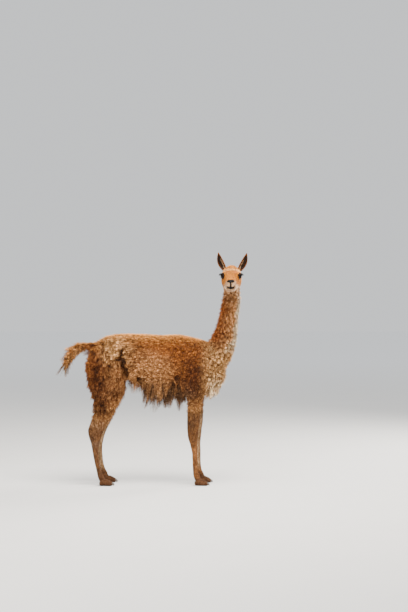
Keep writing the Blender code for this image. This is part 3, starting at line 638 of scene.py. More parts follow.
class Board:
    """A node tree that is filled from Python."""

    def __init__(self, tree: bpy.types.NodeTree) -> None:
        """Take a tree."""
        self.tree = tree

    def feed(self, node: bpy.types.Node, feeds: dict[Union[int, str], Feed]) -> None:
        """Fill a node's inputs.

        Args:
            node: The node.
            feeds: Values or wires, by the input's name or number.
        """
        for name, value in feeds.items():
            entry = node.inputs[name]
            if isinstance(value, Wire):
                self.tree.links.new(value.socket, entry)
            else:
                entry.default_value = value

    def add(self, kind: str, settings: Optional[dict] = None, feeds: Optional[dict] = None,
            give: Union[int, str] = 0) -> Wire:
        """Add one node.

        Args:
            kind: The node's type.
            settings: Its own settings.
            feeds: Values or wires for its inputs, by name or number.
            give: Which output is given back.

        Returns:
            The wanted output.
        """
        node = self.tree.nodes.new(kind)
        for name, value in (settings or {}).items():
            setattr(node, name, value)
        self.feed(node, feeds or {})
        return Wire(self, node.outputs[give] if len(node.outputs) else None)

    def out(self, wire: Wire, name: Union[int, str]) -> Wire:
        """Another output of the node that a wire comes from."""
        return Wire(self, wire.socket.node.outputs[name])

    def mix(self, first: Feed, second: Feed, share: Feed, blend: str = "MIX") -> Wire:
        """Mix two colours."""
        settings = {"data_type": "RGBA", "blend_type": blend, "clamp_factor": True}
        return self.add("ShaderNodeMix", settings, {0: share, 6: first, 7: second}, give=2)

    def named(self, name: str, kind: str = "FLOAT") -> Wire:
        """Read an attribute of the geometry by name."""
        return self.add("GeometryNodeInputNamedAttribute", {"data_type": kind}, {"Name": name})

    def vector(self, operation: str, first: Feed, second: Feed) -> Wire:
        """One Vector Math node on two vectors."""
        return self.add("ShaderNodeVectorMath", {"operation": operation}, {0: first, 1: second})

    def kept(self, name: str, give: str = "Fac") -> Wire:
        """Read in a shader what the mesh keeps under a name."""
        return self.add("ShaderNodeAttribute", {"attribute_name": name}, give=give)

    def spot(self) -> Wire:
        """The place that is shaded, in the object's coordinates."""
        return self.add("ShaderNodeTexCoord", give="Object")

    def noise(self, spot: Wire, scale: float, detail: float = 2.0, rough: float = 0.5,
              give: Union[int, str] = 0) -> Wire:
        """Noise in space."""
        return self.add("ShaderNodeTexNoise", None, {"Vector": spot, "Scale": scale,
                                                     "Detail": detail, "Roughness": rough}, give)

    def eased(self, value: Wire, between: Span, levels: Span = (0.0, 1.0)) -> Wire:
        """A smooth step.

        Args:
            value: The number to judge.
            between: Where the step starts and ends.
            levels: What it gives before and after.

        Returns:
            The level.
        """
        return self.add("ShaderNodeMapRange", {"interpolation_type": "SMOOTHSTEP"},
                        {"Value": value, "From Min": between[0], "From Max": between[1],
                         "To Min": levels[0], "To Max": levels[1]})

    def chance(self, low: float, high: float, seed: int) -> Wire:
        """A random number for each element of the geometry."""
        return self.add("FunctionNodeRandomValue", {"data_type": "FLOAT"},
                        {2: low, 3: high, "Seed": seed}, give=1)

    def stored(self, geometry: Wire, name: str, value: Wire, kind: str,
               domain: str = "POINT") -> Wire:
        """Keep a value on the geometry under a name."""
        return self.add("GeometryNodeStoreNamedAttribute", {"data_type": kind, "domain": domain},
                        {"Geometry": geometry, "Name": name, "Value": value})

    def copied(self, points: Wire, original: Wire, facing: Wire, width: Wire,
               length: Wire) -> Wire:
        """Set a real copy of an object's mesh on each point.

        Args:
            points: The points.
            original: The object.
            facing: How each copy is turned.
            width: Its scale along X and Z.
            length: Its scale along Y.

        Returns:
            The copies as real geometry.
        """
        scale = self.add("ShaderNodeCombineXYZ", None, {"X": width, "Y": length, "Z": width})
        mesh = self.add("GeometryNodeObjectInfo", None, {"Object": original}, "Geometry")
        copies = self.add("GeometryNodeInstanceOnPoints", None,
                          {"Points": points, "Instance": mesh, "Rotation": facing,
                           "Scale": scale})
        return self.add("GeometryNodeRealizeInstances", None, {"Geometry": copies})

    def finished(self, geometry: Wire, entry: Wire) -> None:
        """Give the geometry the finish that comes in, and lead it out."""
        dressed = self.add("GeometryNodeSetMaterial", None,
                           {"Geometry": geometry, "Material": self.out(entry, "Finish")})
        self.add("NodeGroupOutput", None, {"Geometry": dressed})

    def tinted(self, level: Wire) -> Wire:
        """The kept tint in a light that turns warmer where it is dim."""
        light = self.add("ShaderNodeCombineColor", None,
                         {0: level, 1: level ** GREEN_BY, 2: level ** BLUE_BY})
        return self.mix(self.kept("tint", "Color"), light, 1.0, "MULTIPLY")

    def mottle(self, spot: Wire, flow: Wire, scale: float) -> Wire:
        """Streaky light and dark noise that runs along the coat: partly the wool's uneven colour,
        partly painted shade in thin gaps between locks and painted light on the locks.

        Args:
            spot: The place.
            flow: 0 where the coat lies level, 1 where it hangs.
            scale: How fine the noise is.

        Returns:
            A number from 0 to 2, mostly near 1.
        """
        level, hanging = (
            self.noise(self.add("ShaderNodeMapping", None, {"Vector": spot, "Scale": size}),
                       scale, 3.0, 0.6, "Color")
            for size in ((0.45, 1.0, 1.0), (1.0, 1.0, 0.45)))
        parts = self.add("ShaderNodeSeparateColor", None, {0: self.mix(level, hanging, flow)})
        blob = self.eased(parts, (0.34, 0.66), (0.40, 1.70))
        # Thin dark lines where the second channel nears its middle: painted shade between locks.
        off = self.add("ShaderNodeMath", {"operation": "ABSOLUTE"},
                       {0: self.out(parts, "Green") - 0.5})
        return blob * self.eased(off, (0.0, 0.070), (0.15, 1.22))

    def stretched(self, vector: Wire, share: Feed) -> Wire:
        """A vector times a number."""
        return self.add("ShaderNodeVectorMath", {"operation": "SCALE"},
                        {0: vector, "Scale": share})


def declared(tree: bpy.types.NodeTree, inputs: dict[str, tuple[str, object]]) -> dict[str, str]:
    """Declare a geometry tree's named inputs and its output.

    Args:
        tree: The tree.
        inputs: Each input's type, and its default if it has one, by name.

    Returns:
        Each input's identifier by name.
    """
    face = tree.interface
    face.new_socket("Geometry", in_out="INPUT", socket_type="NodeSocketGeometry")
    found = {}
    for name, (kind, value) in inputs.items():
        socket = face.new_socket(name, in_out="INPUT", socket_type=f"NodeSocket{kind}")
        if value is not None:
            socket.default_value = value
        found[name] = socket.identifier
    face.new_socket("Geometry", in_out="OUTPUT", socket_type="NodeSocketGeometry")
    return found


def grown(thing: bpy.types.Object, tree: bpy.types.NodeTree, sockets: dict[str, str],
          values: dict[str, object]) -> bpy.types.Object:
    """Leave an object as geometry nodes make it.

    Args:
        thing: The object.
        tree: The nodes.
        sockets: The identifier of each of their inputs, by name.
        values: What each input is given, by name.

    Returns:
        The same object with a plain mesh.
    """
    change = thing.modifiers.new(tree.name, "NODES")
    change.node_group = tree
    for name, value in values.items():
        change[sockets[name]] = value
    return settle(thing)


def material(name: str) -> tuple[bpy.types.Material, Board, bpy.types.Node]:
    """A new material and what is needed to fill it.

    Args:
        name: The material's name.

    Returns:
        The material, its board and its main shader.
    """
    made = bpy.data.materials.new(name)
    made.use_nodes = True
    shader = made.node_tree.nodes["Principled BSDF"]
    return made, Board(made.node_tree), shader


# Finishes

GREEN_BY, BLUE_BY = 1.15, 1.35


def opaque(colour: Colour, by: float = 1.0) -> tuple[float, ...]:
    """A colour, brighter by a factor, with full alpha."""
    return tuple(by * part for part in colour) + (1.0,)


@dataclass(frozen=True)
class CoatFinish:
    """Wool or hair: painted shade at the root, painted sunlight at the tip, painted shade on the
    tips in partings and creases, and no two tufts quite alike.
    """

    name: str
    root_share: float = 0.45
    tip_share: float = 1.75
    uneven: float = 0.40
    patchy: float = 0.90
    scale: float = 105.0
    rough: float = 0.80
    sheen: float = 0.05
    sheen_rough: float = 0.45
    sheen_tint: Colour = (1.0, 0.86, 0.70)
    shine: float = 0.12
    deepest: float = 0.04

    def made(self) -> bpy.types.Material:
        """Build the material.

        Returns:
            The material of the tufts.
        """
        made, board, shader = material(self.name)
        along, chance, flow, shade = (board.kept(name)
                                      for name in ("along", "chance", "flow", "shade"))
        mottle = board.mottle(board.spot(), flow, self.scale)
        # Painted shade at the root and painted sunlight at the tip; the kept shade dims the tips as
        # well, no lower than the darkest painted shade.
        root = self.root_share * shade
        tip = self.tip_share * (self.deepest + (1.0 - self.deepest) * shade)
        level = root + (tip - root) * along
        level = level * (self.uneven * chance + (1.0 - 0.5 * self.uneven))
        level = level * (self.patchy * mottle + (1.0 - self.patchy))
        board.feed(shader, {
            "Base Color": board.tinted(level), "Roughness": self.rough,
            "Sheen Weight": self.sheen, "Sheen Roughness": self.sheen_rough,
            "Sheen Tint": opaque(self.sheen_tint), "Specular IOR Level": self.shine})
        return made


@dataclass(frozen=True)
class SkinFinish:
    """The skin under the coat: the coat's markings and painted shade, with fine short hair as bump.
    """

    name: str = "skin"
    hair_scale: float = 900.0
    clump_scale: float = 130.0
    deep: float = 0.0016
    hanging: float = 0.28
    mottle_scale: float = 80.0
    patchy: float = 0.40
    dry_rough: float = 0.86
    moist_less: float = 0.34
    shine: float = 0.08

    def made(self) -> bpy.types.Material:
        """Build the material.

        Returns:
            The material of the skin.
        """
        made, board, shader = material(self.name)
        spot = board.spot()
        stretch = board.add("ShaderNodeMapping", None,
                            {"Vector": spot, "Scale": (1.0, 1.0, self.hanging)})
        hair = board.noise(stretch, self.hair_scale)
        clump = board.noise(stretch, self.clump_scale, 4.0)
        # The kept shade brings painted shade onto the skin: gaps between curls, partings, creases
        # and the skin under the wool.
        level = (0.50 * hair + 0.44 * clump + 0.50) * board.kept("shade")
        mottle = board.mottle(spot, board.kept("flow"), self.mottle_scale)
        level = level * (self.patchy * mottle + (1.0 - self.patchy))
        bump = board.add("ShaderNodeBump", None, {"Height": hair * 0.6 + clump * 1.0,
                                                  "Distance": self.deep, "Strength": 0.75})
        board.feed(shader, {
            "Base Color": board.tinted(level), "Normal": bump,
            "Roughness": self.dry_rough - self.moist_less * board.kept("moist"),
            "Specular IOR Level": self.shine})
        return made


@dataclass(frozen=True)
class EyeFinish:
    """A near-black eye with a brown iris, a level pupil and a wet surface."""

    name: str = "wet_eye"
    iris: Colour = (0.016, 0.007, 0.003)
    dark: Colour = (0.002, 0.0015, 0.0015)
    fibre_scale: float = 900.0
    fibre_by: float = 1.8
    pupil: Span = (0.28, 0.42)
    border: Span = (0.62, 0.78)

    def made(self) -> bpy.types.Material:
        """Build the material.

        Returns:
            The material of both eyes.
        """
        made, board, shader = material(self.name)
        rim, dark = board.kept("from_pupil"), opaque(self.dark)
        fibre = board.noise(board.spot(), self.fibre_scale)
        streak = board.mix(opaque(self.iris), opaque(self.iris, self.fibre_by), fibre)
        inner = board.mix(dark, streak, board.eased(rim, self.pupil))
        colour = board.mix(inner, dark, board.eased(rim, self.border))
        board.feed(shader, {"Base Color": colour, "Roughness": 0.10, "Coat Weight": 0.10,
                            "Coat Roughness": 0.02, "Specular IOR Level": 0.10, "IOR": 1.30})
        return made


@dataclass(frozen=True)
class NailFinish:
    """Horn with growth lines across it and paler clouds."""

    name: str = "horn"
    dark: Colour = (0.055, 0.042, 0.034)
    pale: Colour = (0.110, 0.082, 0.062)
    line_scale: float = 160.0
    cloud_scale: float = 90.0
    deep: float = 0.0004

    def made(self) -> bpy.types.Material:
        """Build the material.

        Returns:
            The material of all nails.
        """
        made, board, shader = material(self.name)
        spot = board.spot()
        lines = board.add("ShaderNodeTexWave", {"wave_type": "BANDS", "bands_direction": "X"},
                          {"Vector": spot, "Scale": self.line_scale, "Distortion": 3.0,
                           "Detail": 2.0})
        cloud = board.noise(spot, self.cloud_scale)
        share = lines * 0.35 + cloud * 0.55
        bump = board.add("ShaderNodeBump", None,
                         {"Height": lines, "Distance": self.deep, "Strength": 0.6})
        board.feed(shader, {"Base Color": board.mix(opaque(self.dark), opaque(self.pale), share),
                            "Roughness": 0.38 + 0.25 * cloud, "Normal": bump})
        return made


@dataclass(frozen=True)
class FloorFinish:
    """A plain pale floor that turns paler far away, as painted light."""

    name: str = "pale_floor"
    colour: Colour = (0.74, 0.72, 0.69)
    far: Colour = (0.96, 0.97, 0.98)
    cloud_scale: float = 3.0
    cloud_by: float = 1.05
    fade: Span = (2.0, 16.0)

    def made(self) -> bpy.types.Material:
        """Build the material.

        Returns:
            The material of the floor.
        """
        made, board, shader = material(self.name)
        spot = board.spot()
        colour = board.mix(opaque(self.colour), opaque(self.colour, self.cloud_by),
                           board.noise(spot, self.cloud_scale))
        # Painted light: paler far away, where the lamps' light falls off, so that the floor meets
        # the sky without a dark band.
        reach = board.add("ShaderNodeVectorMath", {"operation": "LENGTH"}, {0: spot}, "Value")
        colour = board.mix(colour, opaque(self.far), board.eased(reach, self.fade))
        board.feed(shader, {"Base Color": colour, "Roughness": 0.9})
        return made


# Regions of the animal and what grows there

@dataclass(frozen=True)
class Borders:
    """Where each region starts and where it is complete, in metres."""

    near_head: Span = (1.10, 1.12)
    head: Span = (1.150, 1.235)
    face: Span = (0.055, 0.075)
    neck_behind: Span = (0.30, 0.34)
    neck_foot: float = 0.78
    neck_rise: float = 0.10
    tail: Span = (-0.385, -0.415)
    foreleg: Span = (0.510, 0.400)
    hindleg: Span = (0.450, 0.320)
    shank: Span = (0.46, 0.28)
    foot: Span = (0.080, 0.055)
    under_reach: float = 0.34
    muzzle: Span = (0.085, 0.140)
    breast_ahead: Span = (0.290, 0.390)
    breast_below: Span = (1.04, 0.86)
    neck_line: Rows = ((0.80, 0.88, 0.94, 1.08, 1.20), (0.410, 0.446, 0.464, 0.490, 0.500))


@dataclass(frozen=True)
class Depths:
    """How deep the skin lies under the coat's tips in each region, in metres."""

    trunk: float = 0.0125
    neck: float = 0.0070
    tail: float = 0.0010
    withers_less: float = 0.018
    breast_less: float = 0.008
    leg: float = 0.0075
    shank_less: float = 0.0052
    face: float = 0.0045
    nose_less: float = 0.0032


BORDER = Borders()
DEEP = Depths()


class Way(Enum):
    """Which way the coat lies in each region, before it is laid along the surface."""

    RIBS = (-1.0, 0.0, -0.55)
    RUMP = (-0.55, 0.0, -1.0)
    SHOULDER = (-0.35, 0.0, -1.0)
    NECK = (-0.12, 0.0, -1.0)
    BREAST = (0.05, 0.0, -1.0)
    LEG = (0.0, 0.0, -1.0)
    FOOT = (1.2, 0.0, -0.5)
    TAIL_BASE = (-1.0, 0.0, -0.2)
    TAIL_END = (-0.3, 0.0, -1.0)

    def by(self, share: np.ndarray) -> np.ndarray:
        """This way, as strong as each place's share."""
        return np.array(self.value) * share[:, None]


def neck_line(height: np.ndarray) -> np.ndarray:
    """Where the middle of the neck is, along X, at each height."""
    return np.interp(height, *BORDER.neck_line)


@dataclass
class Regions:
    """How far each place belongs to each region, and how the coat grows there."""

    places: np.ndarray
    outwards: np.ndarray

    def __post_init__(self) -> None:
        """Work out every region's share once."""
        x, y, z = self.places.T
        self.x, self.y, self.z = x, y, z
        self.ahead = HEAD.y - y
        self.across = x - HEAD.x + HEAD.yaw * self.ahead
        edge = z + 0.010 * ripple(self.places, 0.030, 15) - 0.25 * np.minimum(self.ahead, 0.0)
        self.head = ramp(z, *BORDER.near_head) * np.maximum(ramp(edge, *BORDER.head),
                                                            ramp(self.ahead, *BORDER.face))
        self.ear = np.zeros(len(x))
        start = BORDER.neck_foot + 0.8 * np.clip(0.42 - x, 0.0, 0.2)
        self.neck = ramp(z, start, start + BORDER.neck_rise) * ramp(x, *BORDER.neck_behind)
        self.neck = self.neck * (1.0 - self.head)
        self.tail = ramp(x, *BORDER.tail)
        fore_low = ramp(z, *BORDER.foreleg) * (x > 0.0)
        hind_low = ramp(z, *BORDER.hindleg) * (x <= 0.0)
        self.leg = (fore_low + hind_low) * (1.0 - self.tail)
        self.foot = ramp(z, *BORDER.foot) * (1.0 - self.tail)
        self.trunk = np.clip(1.0 - self.head - self.neck - self.tail - self.leg, 0.0, 1.0)
        self.under = ramp(self.outwards[:, 2], -0.25, -0.75) * self.trunk
        self.under = self.under * (np.abs(x) < BORDER.under_reach)
        self.muzzle = self.head * ramp(self.ahead, *BORDER.muzzle)
        self.breast = (1.0 - self.head) * ramp(x, *BORDER.breast_ahead)
        self.breast = self.breast * ramp(z, *BORDER.breast_below) * (1 - self.leg)

    def eye_distance(self) -> np.ndarray:
        """How far each place is from the nearer eye's middle."""
        right, left = (np.linalg.norm(self.places - np.array(HEAD.eye_centre(side)), axis=1)
                       for side in Side)
        return np.minimum(right, left)

    def shank(self) -> np.ndarray:
        """How far down the legs each place is, from thigh to shank."""
        return ramp(self.z, *BORDER.shank)

    def depth(self) -> np.ndarray:
        """How deep the skin lies under the coat's tips.

        Returns:
            One depth per place, in metres.
        """
        deep = DEEP.trunk * self.trunk + DEEP.neck * self.neck + DEEP.tail * self.tail
        withers = ramp(self.x, 0.06, 0.20) * ramp(self.x, 0.40, 0.34) * ramp(self.z, 0.80, 0.87)
        deep = deep - DEEP.withers_less * withers * self.trunk - DEEP.breast_less * self.breast
        deep = deep + self.leg * (DEEP.leg - DEEP.shank_less * self.shank())
        deep = deep + self.head * (DEEP.face - DEEP.nose_less * ramp(self.ahead, 0.03, 0.13))
        deep = deep * (1.0 - 0.95 * ramp(self.eye_distance(), 0.036, 0.024) * self.head)
        return deep * (1.0 - 0.75 * self.foot)

    def lie(self) -> np.ndarray:
        """Which way the coat lies, along the surface.

        Returns:
            One vector of length one per place.
        """
        rear, front = ramp(self.x, -0.12, -0.26), ramp(self.x, 0.16, 0.30)
        body = Way.RIBS.by(1.0 - rear) + Way.RUMP.by(rear)
        body = body * (1.0 - 0.7 * front[:, None]) + Way.SHOULDER.by(0.7 * front)
        total = body * self.trunk[:, None] + Way.NECK.by(self.neck)
        total = total + Way.BREAST.by(self.breast * 1.5) + Way.LEG.by(self.leg)
        total = total + Way.FOOT.by(self.foot)
        fall = ramp(self.z, 0.84, 0.76)
        tail = Way.TAIL_BASE.by(1.0 - fall) + Way.TAIL_END.by(fall)
        away = unit(self.places - np.array(HEAD.point(0.0, 0.215, 1.214)))
        away[:, 1] += 0.25
        total = total + tail * self.tail[:, None] + away * self.head[:, None]
        inwards = np.sum(total * self.outwards, axis=1)[:, None] * self.outwards
        return unit(total - inwards)


class Tone(Enum):
    """The coat's colours, as linear red, green and blue."""

    SAND = (0.500, 0.220, 0.068)
    # The top of the back: a golden tone brightened as painted light from above.
    BACK = (0.860, 0.370, 0.080)
    SADDLE = (0.380, 0.115, 0.018)
    # Behind the shoulder: partly its own brown, partly painted shade.
    SHOULDER = (0.115, 0.027, 0.004)
    FLANK = (0.620, 0.280, 0.100)
    # The hip: partly its own sandy tone, partly painted light from above.
    HIP = (0.950, 0.520, 0.210)
    RUMP = (0.360, 0.105, 0.018)
    # The rear of the thigh: partly its own brown, partly painted shade.
    THIGH = (0.170, 0.050, 0.012)
    THIGH_FRONT = (0.430, 0.180, 0.060)
    BELLY = (0.190, 0.100, 0.050)
    BREAST = (0.900, 0.500, 0.200)
    # Pale cream: the breast's bib, and along the neck's front edge partly a painted rim of light.
    BIB = (0.950, 0.720, 0.460)
    # A deep brown: on the back of the neck partly painted shade, and above the inner eyes a painted
    # shadow.
    NAPE = (0.450, 0.130, 0.026)
    NECK = (0.460, 0.180, 0.052)
    NECK_FRONT = (0.880, 0.440, 0.180)
    FORELEG = (0.135, 0.054, 0.017)
    CANNON = (0.205, 0.080, 0.026)
    HINDLEG = (0.225, 0.130, 0.075)
    HIND_CANNON = (0.120, 0.050, 0.018)
    PALE_LEG = (0.400, 0.240, 0.120)
    FOOT = (0.090, 0.038, 0.016)
    PAD = (0.030, 0.022, 0.018)
    TAIL = (0.500, 0.200, 0.050)
    TAIL_UNDER = (0.280, 0.150, 0.065)
    FACE = (0.470, 0.155, 0.014)
    BROW = (0.800, 0.380, 0.120)
    CHEEK = (0.950, 0.660, 0.420)
    MUZZLE = (0.460, 0.280, 0.160)
    THROAT = (0.620, 0.340, 0.160)
    NOSE = (0.004, 0.003, 0.003)
    LID = (0.008, 0.005, 0.004)
    EAR_BACK = (0.450, 0.160, 0.035)
    EAR_RIM = (0.360, 0.115, 0.020)
    EAR_INSIDE = (0.035, 0.015, 0.008)
    EAR_HAIR = (0.700, 0.480, 0.300)


NOSE_HEIGHT = 1.2355
MOUTH_HALF = 0.021


@dataclass(frozen=True)
class Patch:
    """A soft-edged patch of one tone on both sides of the body."""

    tone: Tone
    middle: tuple[float, float]
    half: tuple[float, float]
    strength: float = 1.0
    edge: float = 0.55

    def share(self, x: np.ndarray, z: np.ndarray) -> np.ndarray:
        """How much of its tone the patch gives to each place, seen from the side."""
        distance = np.hypot((x - self.middle[0]) / self.half[0],
                            (z - self.middle[1]) / self.half[1])
        return self.strength * ramp(distance, 1.0 + self.edge, 1.0 - self.edge)


def layered(base: Union[Tone, np.ndarray], count: int,
            *layers: tuple[Tone, np.ndarray]) -> np.ndarray:
    """Lay tones over a colour, one after another.

    Args:
        base: The first tone, or the colours so far, one row each.
        count: How many rows there are.
        layers: Each tone and how much of it, per row.

    Returns:
        The new colours.
    """
    if isinstance(base, Tone):
        base = np.tile(np.array(base.value), (count, 1))
    for tone, share in layers:
        base = over(base, np.array(tone.value), np.clip(share, 0.0, 1.0))
    return base


@dataclass(frozen=True)
class Markings:
    """The animal's markings, shared by skin and coat."""

    patches: tuple[Patch, ...] = (
        # Paler hip: partly its own sandy tone, partly painted light from above.
        Patch(Tone.HIP, (-0.205, 0.835), (0.115, 0.080), 1.0),
        Patch(Tone.RUMP, (-0.335, 0.730), (0.070, 0.160), 0.85, 0.5),
        # Dark rear of the thigh: partly its own brown, partly painted shade.
        Patch(Tone.THIGH, (-0.300, 0.580), (0.075, 0.130), 0.85),
        Patch(Tone.THIGH_FRONT, (-0.190, 0.610), (0.070, 0.130), 0.8),
        Patch(Tone.SADDLE, (0.125, 0.830), (0.235, 0.085), 0.9),
        Patch(Tone.SADDLE, (0.225, 0.730), (0.105, 0.120), 0.8),
        Patch(Tone.FLANK, (0.005, 0.715), (0.125, 0.095), 0.9),
        # Dark patch behind the shoulder: partly its own brown, partly painted shade.
        Patch(Tone.SHOULDER, (0.268, 0.640), (0.062, 0.125), 0.85),
        Patch(Tone.BELLY, (0.060, 0.560), (0.200, 0.070), 0.9))

    def body(self, region: Regions) -> np.ndarray:
        """Colours of the trunk, neck, legs and tail.

        Args:
            region: The places to colour.

        Returns:
            One colour per place.
        """
        stray = region.places.copy()
        for axis, size, seed in ((0, 0.09, 3), (2, 0.08, 5)):
            stray[:, axis] += (0.012 * ripple(region.places, size, seed)
                               + 0.006 * ripple(region.places, 0.03, seed + 1))
        x, _, z = stray.T
        count = len(x)
        colour = layered(
            Tone.SAND, count,
            *((patch.tone, patch.share(x, z)) for patch in self.patches),
            # Painted light: where the trunk's surface faces up, it takes the sunlit back tone.
            (Tone.BACK, 0.9 * ramp(region.outwards[:, 2], 0.66, 0.98) * region.trunk),
            (Tone.BREAST, region.breast),
            (Tone.BIB, 0.8 * ramp(x, 0.33, 0.40) * ramp(z, 0.70, 0.60) * (1.0 - region.leg)))
        ahead = x - neck_line(z)
        neck = layered(
            Tone.NECK, count,
            # The back of the neck is darker: partly its own deeper brown, partly painted shade.
            (Tone.NAPE, ramp(ahead, -0.015, -0.055)),
            (Tone.NECK_FRONT, ramp(ahead, -0.030, 0.045)),
            # The front edge takes the pale bib tone: partly its own pale hair, partly a painted rim
            # of light.
            (Tone.BIB, ramp(ahead, 0.024, 0.042)),
            (Tone.THROAT, 0.75 * ramp(z, 1.080, 1.170)))
        colour = over(colour, neck, region.neck)
        low = ramp(z, 0.30, 0.22)
        hock = ramp(z, 0.40, 0.34) * ramp(z, 0.22, 0.28)
        inner = ramp(-np.sign(region.y) * region.outwards[:, 1], 0.2, 0.8)
        leg = over(layered(Tone.HINDLEG, count, (Tone.HIND_CANNON, np.maximum(low, hock))),
                   layered(Tone.FORELEG, count, (Tone.CANNON, low)), ramp(region.x, -0.02, 0.02))
        leg = layered(leg, count, (Tone.PALE_LEG, 0.75 * inner * ramp(z, 0.06, 0.14)))
        leg = leg * uneven(region.places, (0.22, 0.035, 61), (0.16, 0.016, 62))
        colour = layered(
            over(colour, leg, region.leg), count,
            (Tone.FOOT, ramp(z, 0.085, 0.040) * (1.0 - region.tail)),
            (Tone.PAD, ramp(region.z, 0.010, 0.003)))
        # The tail is darker where its surface faces down, which is painted shade, and also towards
        # its lower end.
        under = ramp(region.outwards[:, 2] + 0.5 * region.outwards[:, 0], 0.3, -0.4)
        tail = layered(Tone.TAIL, count, (Tone.TAIL_UNDER, under * 0.8 + ramp(z, 0.76, 0.70)))
        colour = over(colour, tail, region.tail)
        return colour * uneven(region.places, (0.10, 0.045, 8), (0.08, 0.02, 9))

    def face(self, region: Regions) -> np.ndarray:
        """Colours of the head.

        Args:
            region: The places to colour.

        Returns:
            One colour per place.
        """
        across, ahead, z = np.abs(region.across), region.ahead, region.z
        colour = layered(Tone.FACE, len(z)) * uneven(region.places, (0.12, 0.016, 71),
                                                     (0.10, 0.008, 72))
        arch = np.abs(z - 1.306 + 4.0 * across ** 2)
        brow_shadow_distance = np.hypot((across - 0.024) / 0.013, (z - 1.291) / 0.012)
        beneath = ramp(region.outwards[:, 2], -0.3, -0.8)
        wing = NOSE_HEIGHT + 0.08 * across
        pad = ramp(np.hypot(across / 0.0255, (z - wing) / 0.0105), 1.12, 0.88)
        cleft = ramp(across, 0.0074, 0.0046) * ramp(z, 1.236, 1.230) * ramp(z, 1.190, 1.196)
        line = 1.1945 + 0.0100 * np.clip(across / MOUTH_HALF, 0.0, 1.25) ** 2
        thick = 0.0078 - 0.0020 * np.clip(across / MOUTH_HALF, 0.0, 1.0)
        mouth = ramp(np.abs(z - line) / thick, 1.15, 0.75) * ramp(across, 0.0250, 0.0210)
        return layered(
            colour, len(z),
            (Tone.BROW, 0.8 * ramp(arch, 0.0085, 0.0035) * ramp(ahead, 0.0, 0.03)),
            # Painted shadow: a dark spot above the inner corner of each eye.
            (Tone.NAPE, 0.6 * ramp(brow_shadow_distance, 1.2, 0.4)),
            (Tone.NECK, 0.8 * ramp(ahead + 0.35 * (z - 1.25), 0.015, -0.025)),
            (Tone.CHEEK, ramp(z + 0.5 * across, 1.245, 1.215) * ramp(ahead, 0.005, 0.03)),
            (Tone.MUZZLE, ramp(ahead, 0.140, 0.165) * ramp(z, 1.245, 1.228)),
            (Tone.THROAT, 0.5 * beneath * ramp(ahead, 0.12, 0.06)),
            (Tone.LID, ramp(region.eye_distance(), 0.0234, 0.0212)),
            (Tone.NOSE, np.maximum(pad, cleft) * ramp(ahead, 0.160, 0.172)),
            (Tone.NOSE, mouth * ramp(ahead, 0.150, 0.160)))

    def ears(self, region: Regions) -> tuple[np.ndarray, np.ndarray]:
        """Colours of the ears and how far each place is on one.

        Args:
            region: The places to colour.

        Returns:
            One colour and one share per place.
        """
        count = len(region.z)
        colour, share = layered(Tone.EAR_BACK, count), np.zeros(count)
        shares, widths, _ = zip(*HEAD.ear_rows)
        for side in Side:
            base, tip, run, across, opening = (np.array(part) for part in HEAD.ear_axes(side))
            local = region.places - base
            along = local @ run / np.linalg.norm(tip - base)
            aside = local @ across * side.value
            near = np.linalg.norm(local - np.outer(local @ run, run), axis=1)
            here = ramp(along, -0.02, 0.10) * ramp(near, 0.032, 0.026)
            bow = HEAD.ear_bow * np.sin(math.pi * np.clip(along, 0.0, 1.0))
            off = (aside - bow) / np.interp(along, shares, widths)
            edge = np.abs(off)
            inside = ramp(region.outwards @ opening, 0.05, 0.35) * ramp(edge, 0.92, 0.74)
            inside = inside * ramp(along, 0.95, 0.80)
            stripe = ramp(np.abs(off + 0.30), 0.20, 0.08)
            own = layered(
                Tone.EAR_BACK, count,
                (Tone.EAR_RIM, ramp(edge, 0.80, 0.95) + ramp(along, 0.75, 0.95)),
                (Tone.EAR_INSIDE, inside),
                (Tone.EAR_HAIR, 0.9 * inside * stripe * ramp(along, 0.72, 0.5)))
            colour = over(colour, own, here)
            share = np.maximum(share, here)
        return colour, share

    def paint(self, region: Regions) -> np.ndarray:
        """Colours of the whole animal.

        Args:
            region: The places to colour.

        Returns:
            One colour of four numbers per place.
        """
        colour = over(self.body(region), self.face(region), region.head)
        colour = over(colour, *self.ears(region))
        return np.concatenate([np.clip(colour, 0.0, 0.95), np.ones((len(colour), 1))], axis=1)


@dataclass
class Cells:
    """Rounded cells set close over the surface, for curls and for partings."""

    gap: float
    seed: int

    def middles(self, places: np.ndarray, wanted: np.ndarray) -> np.ndarray:
        """Choose the cells' middles at least a gap apart.

        Args:
            places: Places to choose from.
            wanted: Which of them may be chosen.

        Returns:
            The numbers of the chosen places.
        """
        chance = np.random.default_rng(self.seed)
        order = chance.permutation(np.flatnonzero(wanted))
        held: dict[tuple[int, int, int], list[int]] = {}
        chosen = []
        for index in order:
            place = places[index]
            key = tuple(int(part // self.gap) for part in place)
            near = (other for step in product((-1, 0, 1), repeat=3)
                    for other in held.get(tuple(map(sum, zip(key, step))), ()))
            if all(np.sum((places[other] - place) ** 2) >= self.gap ** 2 for other in near):
                held.setdefault(key, []).append(int(index))
                chosen.append(int(index))
        return np.array(chosen)

    def borders(self, places: np.ndarray, wanted: np.ndarray,
                probes: Optional[np.ndarray] = None) -> tuple[np.ndarray, np.ndarray]:
        """For each place, its cell and how far it is from the cell's border.

        Args:
            places: The places.
            wanted: Which of them lie in cells.
            probes: Where each place is judged from, if not from itself.

        Returns:
            The number of the place in the middle of each one's cell, and the distance to the
            border as a share of the gap.
        """
        chosen = self.middles(places, wanted)
        tree = KDTree(len(chosen))
        for index in chosen:
            tree.insert(places[index], int(index))
        tree.balance()
        probes = places if probes is None else probes
        home = np.arange(len(places))
        inner = np.ones(len(places))
        for index in np.flatnonzero(wanted):
            (_, first, near), (_, _, far) = tree.find_n(probes[index], 2)
            home[index] = first
            inner[index] = (far - near) / self.gap
        return home, inner


